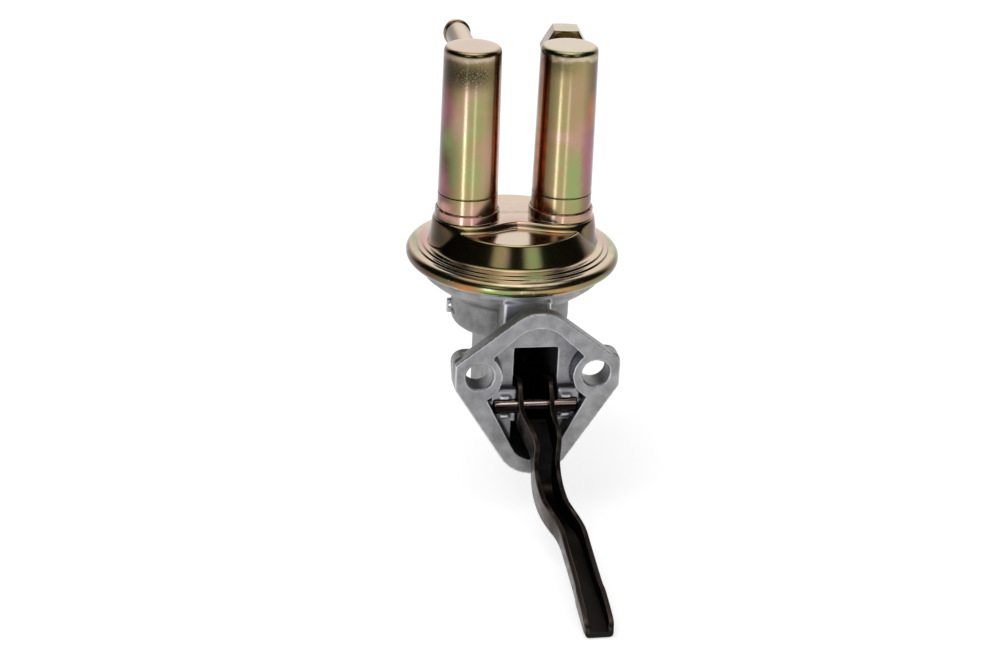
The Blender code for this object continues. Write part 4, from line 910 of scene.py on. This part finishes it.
def threaded_socket(radius, end):
    """The bore of the fitting: a drilled passage, a cone and seven turns of thread."""
    floor = end - 9 * MM
    drill = 3.6 * MM
    pitch = 1 * MM
    bore = [(0, floor - 4 * MM), (drill, floor - 4 * MM), (drill, floor - 2 * MM), (radius - 1.5 * MM, floor)]
    for turn in range(7):
        height = floor + 1 * MM + turn * pitch
        bore += [(radius - 0.5 * MM, height), (radius, height + pitch / 2)]
    bore += [(radius, end - 0.6 * MM), (radius + 1 * MM, end + 0.4 * MM), (0, end + 0.4 * MM)]
    return turned("passage", bore, 64)


class FUELPUMP_OT_outlet_fitting(bpy.types.Operator):
    """Builds the hexagonal outlet fitting with its threaded socket"""

    bl_idname = "fuelpump.outlet_fitting"
    bl_label = "Outlet Fitting"

    def execute(self, context):
        ports = context.scene.pump_ports
        start = ports.hexagon_start
        end = start + ports.hexagon_length
        corner = ports.hexagon / 2 / math.cos(math.radians(30))
        flat = ports.hexagon / 2 - 0.25 * MM
        wide = corner + 1 * MM
        rise = (wide - flat) * math.tan(math.radians(25))
        hexagon = pushed("flare_fitting", circle((0, 0), corner, 6), "Z", start, end)
        chamfers = [(0, start), (flat, start), (wide, start + rise)]
        chamfers += [(wide, end - rise), (flat, end), (0, end)]
        combined(hexagon, turned("envelope", chamfers, 96), "INTERSECT")
        combined(hexagon, threaded_socket(ports.socket_radius, end), "DIFFERENCE")
        neck = [(ports.neck_radius, 8.5 * MM), (ports.neck_radius, start + 0.5 * MM)]
        neck = turned("fitting_neck", neck, 72)
        place = behind(1, ports.fitting_drop, ports.fitting_turn, context.scene.pump_canisters)
        for piece in (hexagon, neck):
            piece.data.transform(place)
            smoothed(piece, 25)
        fitted(hexagon, "housing", "yellow_zinc", "outlet_fitting")
        fitted(neck, "housing", "yellow_zinc")
        return {"FINISHED"}


# Die-cast body


def flange_outline():
    """The flange: a rounded top and foot, and clipped corners beyond the bolt holes."""
    corner = 2 * MM
    side = 33.8 * MM - corner
    circles = [(0, 11.2 * MM, 16 * MM), (0, -29.2 * MM, 16 * MM)]
    return hull(circles + mirrored(side, 4.3 * MM, corner) + mirrored(side, -5 * MM, corner))


def recess_circles(grow=0.0):
    """The circles that the recess is drawn round, its sides running under the bolt lands."""
    circles = [(0, 7.7 * MM, 12.7 * MM + grow), (0, -28.4 * MM, 10.1 * MM + grow)]
    return circles + mirrored(25 * MM, 0.5 * MM, 1 * MM)


def bolt_boss(side, sign, body):
    """The thick part of the flange behind one bolt hole."""
    corner = 5 * MM
    high = 3.1 * MM
    circles = [(29.5 * MM, high, corner), (17 * MM, high, corner)]
    circles += [(31.8 * MM, -5 * MM, 2 * MM), (17 * MM, -10 * MM, corner)]
    outline = hull([(sign * x, z, radius) for x, z, radius in circles])
    return softened(pushed(f"{side}_boss", outline, "Y", body.flange / 2, body.boss), 0.7 * MM)


def recess_space(body):
    """The hollow in the flange's face, less the lands round the bolt holes."""
    recess = pushed("recess_space", hull(recess_circles()), "Y", -1 * MM, body.recess)
    for x in (-25.2 * MM, 25.2 * MM):
        land = pushed("land", circle((x, -0.9 * MM), 10.8 * MM, 96), "Y", -2 * MM, body.recess + 1 * MM)
        combined(recess, land, "DIFFERENCE")
    return recess


def tunnel(name, circles, low, high, side):
    """A tunnel with a plan pulled round circles, cut to the line of its side."""
    solid = pushed(name, hull(circles), "Z", low, high)
    return combined(solid, pushed("side", side, "X", -50 * MM, 50 * MM), "INTERSECT")


def arm_housing(body):
    """The housing that the arm swings in, round at the back and joined to the flange in front."""
    front = 2 * MM
    radius = body.housing_radius
    face = body.flange - 2 * MM
    back = PUMP_Y + radius
    sump_front = PUMP_Y - body.sump_radius
    circles = [(PUMP_X, PUMP_Y, radius), *mirrored(13 * MM - front, body.flange + front, front)]
    side = [
        (face, -41.5 * MM),
        (PUMP_Y - radius, -38 * MM),
        (back - 7 * MM, -36.5 * MM),
        (back + 1 * MM, -29.5 * MM),
        (back + 1 * MM, 6 * MM),
        (sump_front + 4 * MM, 6 * MM),
        (sump_front, 13 * MM),
        (face, 14 * MM),
    ]
    return softened(tunnel("arm_housing", circles, -42.5 * MM, 13 * MM, side), 1.6 * MM, 4)


def arm_space(body):
    """The space inside the housing, from the recess to behind the pull rod."""
    wall = 3.5 * MM
    radius = body.housing_radius - wall
    corner = 1 * MM
    step = PUMP_Y - body.sump_radius - wall
    back = PUMP_Y + radius + 1 * MM
    above = body.slot_top + 1 * MM
    circles = [(PUMP_X, PUMP_Y, radius), (body.slot_right - corner, -corner, corner)]
    circles += [(corner - body.slot_left, -corner, corner)]
    side = [
        (-2 * MM, -33.45 * MM),
        (body.recess, -38 * MM),
        (PUMP_Y - body.housing_radius, -34.5 * MM),
        (back, -33 * MM),
        (back, 2.4 * MM),
        (step, 2.4 * MM),
        (step, above),
        (-2 * MM, above),
    ]
    return tunnel("arm_space", circles, -41.5 * MM, body.slot_top, side)


def pin_pads(body, arm):
    """The raised pads beside the slot, with metal staked over the pin."""
    pads = []
    for side, sign, edge in (("left", -1, body.slot_left), ("right", 1, body.slot_right)):
        across = sorted((sign * edge, sign * 18.4 * MM))
        low = (across[0], arm.pin_depth, -arm.pin_drop - 7 * MM)
        high = (across[1], body.recess + 1 * MM, -arm.pin_drop + 7.4 * MM)
        pads.append(bar(f"{side}_pad", low, high, 0.6 * MM))
        stake = sorted((sign * 10.6 * MM, sign * 14.6 * MM))
        for end, direction in (("upper", 1), ("lower", -1)):
            middle = -arm.pin_drop + direction * (arm.pin_radius + 1.4 * MM)
            low = (stake[0], arm.pin_depth - 0.9 * MM, middle - 0.85 * MM)
            high = (stake[1], arm.pin_depth + 1 * MM, middle + 0.85 * MM)
            pads.append(bar(f"{side}_{end}_stake", low, high, 0.4 * MM))
    return pads


def bowl_solid(body):
    """The bowl and the narrower sump under it, turned about the pump axis."""
    sump = body.sump_radius
    bowl = body.bowl_radius
    profile = fillet(
        [
            (0, 2 * MM, 0),
            (sump, 2 * MM, 3.6 * MM),
            (sump, 15.4 * MM, 1.2 * MM),
            (sump + 1.2 * MM, 16.6 * MM, 0.6 * MM),
            (33 * MM, 21 * MM, 2.5 * MM),
            (bowl - 1 * MM, 24.9 * MM, 1 * MM),
            (bowl, 26.5 * MM, 0.8 * MM),
            (bowl, 31.6 * MM, 0.5 * MM),
            (0, 31.6 * MM, 0),
        ],
        5,
    )
    return turned("bowl", profile, 240, Matrix.Translation((PUMP_X, PUMP_Y, 0)))


def vented(obj, radius, body):
    """Drills the vent through the lug and the side of the sump."""
    hole = circle((PUMP_X - body.sump_radius, 7.3 * MM), radius, 32)
    return combined(obj, pushed("vent", hole, "Y", PUMP_Y - 6 * MM, PUMP_Y + 12 * MM), "DIFFERENCE")


def bolt_bore(sign, body):
    """One bolt hole, its mouth chamfered."""
    radius = body.bolt_hole
    mouth = radius + 1.5 * MM
    bore = [(0, -1 * MM), (mouth, -1 * MM), (radius, 0.5 * MM), (radius, 12 * MM), (0, 12 * MM)]
    place = Matrix.Translation((sign * body.bolt_spacing / 2, 0, 0)) @ LAID_DOWN
    return turned("bolt_hole", bore, 72, place, closed=True)


def flange_casting(body, arm):
    """The flange with its bosses, recess, pin bed and bolt holes, and the arm's housing behind it."""
    casting = pushed("casting", flange_outline(), "Y", 0, body.flange)
    pocket = pushed("pocket", hull(recess_circles(3.2 * MM)), "Y", body.flange - 2 * MM, body.boss)
    # The housing's upper left edge is cut away, so that the sump shows down to its foot.
    low = (-22 * MM, body.boss + 0.3 * MM, 3.4 * MM)
    cut_edge = bar("cut_edge", low, (-12.6 * MM, PUMP_Y - 15 * MM, 15 * MM))
    for part in (softened(pocket, 0.8 * MM), bolt_boss("left", -1, body), bolt_boss("right", 1, body)):
        combined(casting, part, "UNION")
    combined(casting, arm_housing(body), "UNION")
    for space in (arm_space(body), recess_space(body), cut_edge):
        combined(casting, space, "DIFFERENCE")
    for pad in pin_pads(body, arm):
        combined(casting, pad, "UNION")
    bed = circle((arm.pin_depth, -arm.pin_drop), arm.pin_radius + 0.3 * MM, 48)
    reach = arm.pin_half + 0.3 * MM
    bores = [pushed("pin_bed", bed, "X", -reach, reach), bolt_bore(-1, body), bolt_bore(1, body)]
    for bore in bores:
        combined(casting, bore, "DIFFERENCE")
    return casting


class FUELPUMP_OT_body(bpy.types.Operator):
    """Builds the die-cast body, its inner corners softened as a casting's are"""

    bl_idname = "fuelpump.body"
    bl_label = "Die-Cast Body"

    def execute(self, context):
        body = context.scene.pump_body
        flange = flange_casting(body, context.scene.pump_arm)
        low = (-12.6 * MM, 13.3 * MM, 10.7 * MM)
        column = bar("column", low, (6.7 * MM, PUMP_Y - 4 * MM, 26.4 * MM), 1.0 * MM)
        low = (PUMP_X - 26.4 * MM, PUMP_Y + 2.4 * MM, 4.2 * MM)
        high = (PUMP_X - body.sump_radius + 1.4 * MM, PUMP_Y + 4.6 * MM, 10.4 * MM)
        lug = vented(bar("vent_lug", low, high, 0.5 * MM), 1.0 * MM, body)
        bowl = vented(bowl_solid(body), 1.1 * MM, body)
        casting = merged("body_casting", [flange, column, bowl])
        # The solids grow together in cells, whose corners are then softened.
        cells = casting.modifiers.new("cells", "REMESH")
        cells.mode = "VOXEL"
        cells.voxel_size = body.grain
        soft = casting.modifiers.new("soft", "SMOOTH")
        soft.factor = 0.4
        soft.iterations = 2
        # The flat faces need few triangles, and the piece stays under 200,000.
        fewer = casting.modifiers.new("fewer", "DECIMATE")
        fewer.ratio = 0.58
        settled(casting).data.shade_smooth()
        fitted(casting, "housing", "die_cast_aluminium", "lower_body")
        fitted(smoothed(lug, 50), "housing", "die_cast_aluminium")
        return {"FINISHED"}


# Rocker arm and pin


def arm_stations():
    """The arm from its forked inner end to its tip, in millimetres.

    Each station gives the foot of the section and the top of its walls as (y, z), then how far
    its middle lies across and half its width.
    """
    return [
        ((58.0, -20.0), (58.0, -13.5), -3.53, 6.95),
        ((46.0, -20.0), (46.0, -12.5), -3.53, 6.95),
        ((32.0, -20.8), (32.0, -10.5), -2.3, 7.35),
        ((18.0, -21.8), (18.0, -8.0), -0.53, 7.35),
        ((9.0, -22.2), (7.5, -5.0), 0.0, 7.35),
        ((4.5, -22.8), (0.8, -9.5), 0.0, 7.35),
        ((1.8, -25.5), (-2.0, -14.5), 0.1, 7.25),
        ((-0.5, -29.5), (-4.2, -18.0), 1.4, 6.85),
        ((-2.0, -33.0), (-7.0, -21.0), 2.7, 6.35),
        ((-3.2, -36.0), (-10.2, -24.0), 3.4, 5.75),
        ((-4.5, -39.3), (-11.5, -28.0), 3.4, 5.45),
        ((-6.0, -43.0), (-11.8, -32.4), 3.2, 5.45),
        ((-9.0, -47.2), (-13.9, -35.8), 3.2, 5.45),
        ((-14.5, -49.6), (-18.0, -38.2), 3.2, 5.45),
        ((-22.0, -50.5), (-22.8, -39.8), 3.3, 5.45),
        ((-29.0, -50.8), (-29.0, -41.3), 3.8, 5.45),
        ((-35.5, -51.5), (-34.8, -42.4), 5.2, 5.45),
        ((-40.5, -52.5), (-39.2, -44.2), 7.0, 5.45),
        ((-46.0, -54.0), (-44.5, -46.0), 8.3, 5.45),
        ((-54.0, -55.6), (-52.5, -48.3), 8.7, 5.45),
        ((-74.0, -59.0), (-72.5, -52.0), 9.0, 5.45),
        ((-79.0, -60.0), (-77.7, -53.1), 9.1, 5.8),
        ((-88.0, -61.8), (-87.0, -55.4), 9.3, 5.8),
        ((-93.0, -62.8), (-92.3, -57.4), 9.4, 5.8),
        ((-95.0, -63.2), (-94.6, -59.4), 9.45, 5.4),
    ]


def flowing(stations, steps):
    """Stations on a smooth line through the given ones."""
    rows = [[*foot, *top, across, half] for foot, top, across, half in stations]
    made = []
    for i in range(len(rows) - 1):
        around = [rows[max(i - 1, 0)], rows[i], rows[i + 1], rows[min(i + 2, len(rows) - 1)]]
        for step in range(steps):
            t = step / steps
            weights = (
                (-t + 2 * t**2 - t**3) / 2,
                (2 - 5 * t**2 + 3 * t**3) / 2,
                (t + 4 * t**2 - 3 * t**3) / 2,
                (t**3 - t**2) / 2,
            )
            made.append([sum(w * row[k] for w, row in zip(weights, around)) for k in range(6)])
    return made + [rows[-1]]


def arm_section(row, arm):
    """A U-shaped section of folded sheet, its corners rounded, standing on its foot."""
    foot = Vector((row[4], row[0], row[1])) * MM
    top = Vector((row[4], row[2], row[3])) * MM
    up = (top - foot).normalized()
    tall = (top - foot).length
    half = row[5] * MM
    inner = half - arm.sheet
    edge = 0.45 * MM
    bend = 0.8 * MM
    line = [(-half, 0, arm.fold), (half, 0, arm.fold), (half, tall, edge), (inner, tall, edge)]
    line += [(inner, arm.sheet, bend), (-inner, arm.sheet, bend), (-inner, tall, edge), (-half, tall, edge)]
    return [foot + Vector((x, 0, 0)) + up * y for x, y in fillet(line, 4, closed=True)]


class FUELPUMP_OT_rocker_arm(bpy.types.Operator):
    """Builds the folded rocker arm with its forked inner end"""

    bl_idname = "fuelpump.rocker_arm"
    bl_label = "Rocker Arm"

    def execute(self, context):
        arm = context.scene.pump_arm
        sections = [arm_section(row, arm) for row in flowing(arm_stations(), 6)]
        channel = skinned("arm_channel", sections, capped=True)
        gap = 3.1 * MM
        low = (PUMP_X - gap, PUMP_Y - 4 * MM, -22 * MM)
        fork = bar("fork", low, (PUMP_X + gap, PUMP_Y + 7 * MM, -15 * MM))
        combined(channel, fork, "DIFFERENCE")
        fitted(smoothed(channel, 40), "arm", "black_steel", "rocker_arm")
        return {"FINISHED"}


class FUELPUMP_OT_pivot_pin(bpy.types.Operator):
    """Builds the pivot pin"""

    bl_idname = "fuelpump.pivot_pin"
    bl_label = "Pivot Pin"

    def execute(self, context):
        arm = context.scene.pump_arm
        radius = arm.pin_radius
        half = arm.pin_half
        line = [(0, -half, 0), (radius, -half, 0.5 * MM), (radius, half, 0.5 * MM), (0, half, 0)]
        across = Matrix.Rotation(math.radians(90), 4, "Y")
        place = Matrix.Translation((0, arm.pin_depth, -arm.pin_drop)) @ across
        pin = smoothed(turned("arm_pin", fillet(line), 64, place), 40)
        fitted(pin, "housing", "pin_steel", "pivot_pin")
        return {"FINISHED"}


# Inner works


def make_coil(node):
    """Copies a spring with a mesh of its own, gives it its finish and sets it in place of the plain one."""
    plain = frame["nodes"][node]
    coil = shown(f"{node}_coil", plain.data.copy())
    coil.matrix_world = plain.matrix_world
    fitted(coil, "housing", "spring_steel", node)
    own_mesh(coil)


class FUELPUMP_OT_inner_works(bpy.types.Operator):
    """Gives the valves, diaphragm, springs and rod inside the pump their finishes"""

    bl_idname = "fuelpump.inner_works"
    bl_label = "Inner Works"

    def execute(self, context):
        for part in frame["record"]["subparts"]:
            materials = frame["nodes"][part["node"]].data.materials
            materials.clear()
            materials.append(finish(part["material_slot"]))
        for joint in frame["record"]["behaviour"]["joints"]:
            for soft in joint.get("deforming_nodes", []):
                if soft["node"].endswith("spring"):
                    make_coil(soft["node"])
        return {"FINISHED"}


# Studio


def seen_straight(tree):
    """1 where the camera or a shiny face looks at a surface, 0 where it only lights something."""
    path = add_node(tree, "ShaderNodeLightPath").outputs
    seen = path["Is Camera Ray"]
    for name in ("Is Glossy Ray", "Is Transmission Ray"):
        seen = add_node(tree, "ShaderNodeMath", {0: seen, 1: path[name]}, operation="MAXIMUM").outputs[0]
    return seen


def make_floor(gap):
    """A pale sweep of card under the pump. It shows white and keeps the pump's soft shadow."""
    size = 4.0
    height = ARM_LOW - gap
    corners = [(-size, -size, height), (size, -size, height), (size, size, height), (-size, size, height)]
    mesh = bpy.data.meshes.new("floor")
    mesh.from_pydata(corners, [], [(0, 1, 2, 3)])
    floor = shown("floor", mesh)
    material = bpy.data.materials.new("white_card")
    material.use_nodes = True
    tree = material.node_tree
    tree.nodes.clear()
    card = add_node(tree, "ShaderNodeBsdfDiffuse", {"Color": (*to_linear("#F2F2F2"), 1)}).outputs[0]
    glow = add_node(tree, "ShaderNodeEmission", {"Strength": 0.56})
    both = add_node(tree, "ShaderNodeAddShader", {0: card, 1: glow.outputs[0]})
    mix = add_node(tree, "ShaderNodeMixShader", {0: seen_straight(tree), 1: card, 2: both.outputs[0]})
    add_node(tree, "ShaderNodeOutputMaterial", {0: mix.outputs[0]})
    mesh.materials.append(material)


def facing_share(tree, towards, middle, start, end, value=1.0):
    """A value that grows from 0 while a direction's share along a given one goes from start to end."""
    near = add_node(tree, "ShaderNodeVectorMath", {0: towards, 1: middle}, operation="DOT_PRODUCT")
    rise = {0: near.outputs["Value"], 1: start, 2: end, 4: value}
    return add_node(tree, "ShaderNodeMapRange", rise, interpolation_type="SMOOTHSTEP").outputs[0]


def make_sky(strength):
    """A white studio all round, whose reflection is dark above and behind the camera.

    Three soft patches of light stand in that dark part, and show in the shiny faces.
    """
    world = bpy.data.worlds.new("white_studio")
    world.use_nodes = True
    tree = world.node_tree
    tree.nodes.clear()
    towards = add_node(tree, "ShaderNodeTexCoord").outputs["Generated"]
    dim = facing_share(tree, towards, (0, 0, 1), 0.0, 0.12)
    for slope, start, end in (((0, 0, 1), 0.93, 0.82), ((0.2, 1, 0), 0.75, 0.45)):
        edge = facing_share(tree, towards, slope, start, end)
        dim = add_node(tree, "ShaderNodeMath", {0: dim, 1: edge}, operation="MULTIPLY").outputs[0]
    white = add_node(tree, "ShaderNodeMapRange", {0: dim, 3: 1.0, 4: 0.01}).outputs[0]
    for azimuth, elevation, size, brightness in ((-28, 36, 14, 0.8), (23, 36, 14, 0.85), (0, 86, 18, 2.5)):
        turn = math.radians(azimuth)
        lift = math.radians(elevation)
        middle = (math.cos(lift) * math.sin(turn), -math.cos(lift) * math.cos(turn), math.sin(lift))
        start = math.cos(math.radians(size))
        end = math.cos(math.radians(0.2 * size))
        glow = facing_share(tree, towards, middle, start, end, brightness)
        white = add_node(tree, "ShaderNodeMath", {0: white, 1: glow}, operation="MAXIMUM").outputs[0]
    shiny = {0: seen_straight(tree), 2: strength, 3: white}
    lit = add_node(tree, "ShaderNodeMix", shiny, data_type="FLOAT").outputs[0]
    seen = add_node(tree, "ShaderNodeLightPath").outputs["Is Camera Ray"]
    level = add_node(tree, "ShaderNodeMix", {0: seen, 2: lit, 3: 1.0}, data_type="FLOAT")
    sky = add_node(tree, "ShaderNodeBackground", {"Color": (1, 1, 1, 1), "Strength": level.outputs[0]})
    add_node(tree, "ShaderNodeOutputWorld", {0: sky.outputs[0]})
    bpy.context.scene.world = world


def add_lamp(name, power, place, towards, width, height, in_reflections):
    """A rectangular soft lamp. It either lights the room or shows only in shiny faces."""
    lamp = bpy.data.lights.new(name, "AREA")
    lamp.shape = "RECTANGLE"
    lamp.size = width
    lamp.size_y = height
    lamp.energy = power
    # A lamp for reflections is a cool white, against the warm metals that it shows in.
    lamp.color = (0.85, 0.97, 1.35) if in_reflections else (1, 1, 1)
    obj = shown(name, lamp)
    obj.location = place
    obj.rotation_euler = (Vector(towards) - Vector(place)).to_track_quat("-Z", "Y").to_euler()
    obj.visible_camera = False
    obj.visible_diffuse = not in_reflections
    obj.visible_glossy = in_reflections


def place_camera():
    """Stands the camera where the photograph was taken from, as fitted to points of the pump."""
    azimuth = math.radians(-10.255)
    elevation = math.radians(24.808)
    roll = math.radians(2.634)
    level = math.cos(elevation)
    back = Vector((math.sin(azimuth) * level, -math.cos(azimuth) * level, math.sin(elevation)))
    right = Vector((math.cos(azimuth), math.sin(azimuth), 0))
    up = back.cross(right)
    rolled_right = right * math.cos(roll) + up * math.sin(roll)
    rolled_up = up * math.cos(roll) - right * math.sin(roll)
    lens = bpy.data.cameras.new("camera")
    lens.sensor_width = 36
    lens.lens = 71.28
    lens.clip_start = 0.01
    lens.clip_end = 20
    camera = shown("camera", lens)
    turn = Matrix((rolled_right, rolled_up, back)).transposed()
    camera.matrix_world = Matrix.Translation(Vector((-143.667, -703.432, 348.937)) * MM) @ turn.to_4x4()
    bpy.context.scene.camera = camera


class FUELPUMP_OT_studio(bpy.types.Operator):
    """Sets up the floor, the lamps, the white surroundings and the camera"""

    bl_idname = "fuelpump.studio"
    bl_label = "Studio"

    def execute(self, context):
        studio = context.scene.pump_studio
        power = studio.strip_power
        foot = (PUMP_X, PUMP_Y, 0.0)
        middle = (PUMP_X, PUMP_Y, 40 * MM)
        make_floor(studio.floor_gap)
        make_sky(studio.sky)
        add_lamp("key_lamp", studio.key_power, (-0.35, -0.1, 0.9), middle, 0.7, 0.7, False)
        add_lamp("left_strip", power, (-0.126, -0.149, 0.0), foot, 0.03, 0.12, True)
        add_lamp("right_strip", 0.3 * power, (0.009, -0.183, 0.0), foot, 0.02, 0.12, True)
        place_camera()
        context.scene.view_settings.view_transform = "Standard"
        return {"FINISHED"}


class FUELPUMP_PT_steps(bpy.types.Panel):
    """Lists the steps that finish the pump"""

    bl_idname = "FUELPUMP_PT_steps"
    bl_label = "Fuel Pump"
    bl_space_type = "VIEW_3D"
    bl_region_type = "UI"
    bl_category = "Fuel Pump"

    def draw(self, context):
        column = self.layout.column()
        for step in STEPS:
            column.operator(step.bl_idname)
        for name in GROUPS:
            column.label(text=name.replace("_", " ").capitalize())
            values = getattr(context.scene, name)
            for field in values.__annotations__:
                column.prop(values, field)


STEPS = (
    FUELPUMP_OT_inner_works,
    FUELPUMP_OT_body,
    FUELPUMP_OT_cover,
    FUELPUMP_OT_canisters,
    FUELPUMP_OT_inlet_tube,
    FUELPUMP_OT_outlet_fitting,
    FUELPUMP_OT_rocker_arm,
    FUELPUMP_OT_pivot_pin,
    FUELPUMP_OT_studio,
)
GROUPS = {
    "pump_cover": CoverSizes,
    "pump_canisters": CanisterSizes,
    "pump_ports": PortSizes,
    "pump_body": BodySizes,
    "pump_arm": ArmSizes,
    "pump_colours": FinishColours,
    "pump_studio": StudioValues,
}


def register():
    for group in GROUPS.values():
        bpy.utils.register_class(group)
    for name, group in GROUPS.items():
        setattr(bpy.types.Scene, name, bpy.props.PointerProperty(type=group))
    for step in (*STEPS, FUELPUMP_PT_steps):
        bpy.utils.register_class(step)


def unregister():
    for step in (FUELPUMP_PT_steps, *reversed(STEPS)):
        bpy.utils.unregister_class(step)
    for name, group in GROUPS.items():
        delattr(bpy.types.Scene, name)
        bpy.utils.unregister_class(group)


def main():
    register()
    bpy.ops.fuelpump.inner_works()
    bpy.ops.fuelpump.body()
    bpy.ops.fuelpump.cover()
    bpy.ops.fuelpump.canisters()
    bpy.ops.fuelpump.inlet_tube()
    bpy.ops.fuelpump.outlet_fitting()
    bpy.ops.fuelpump.rocker_arm()
    bpy.ops.fuelpump.pivot_pin()
    bpy.ops.fuelpump.studio()


if __name__ == "__main__":
    main()
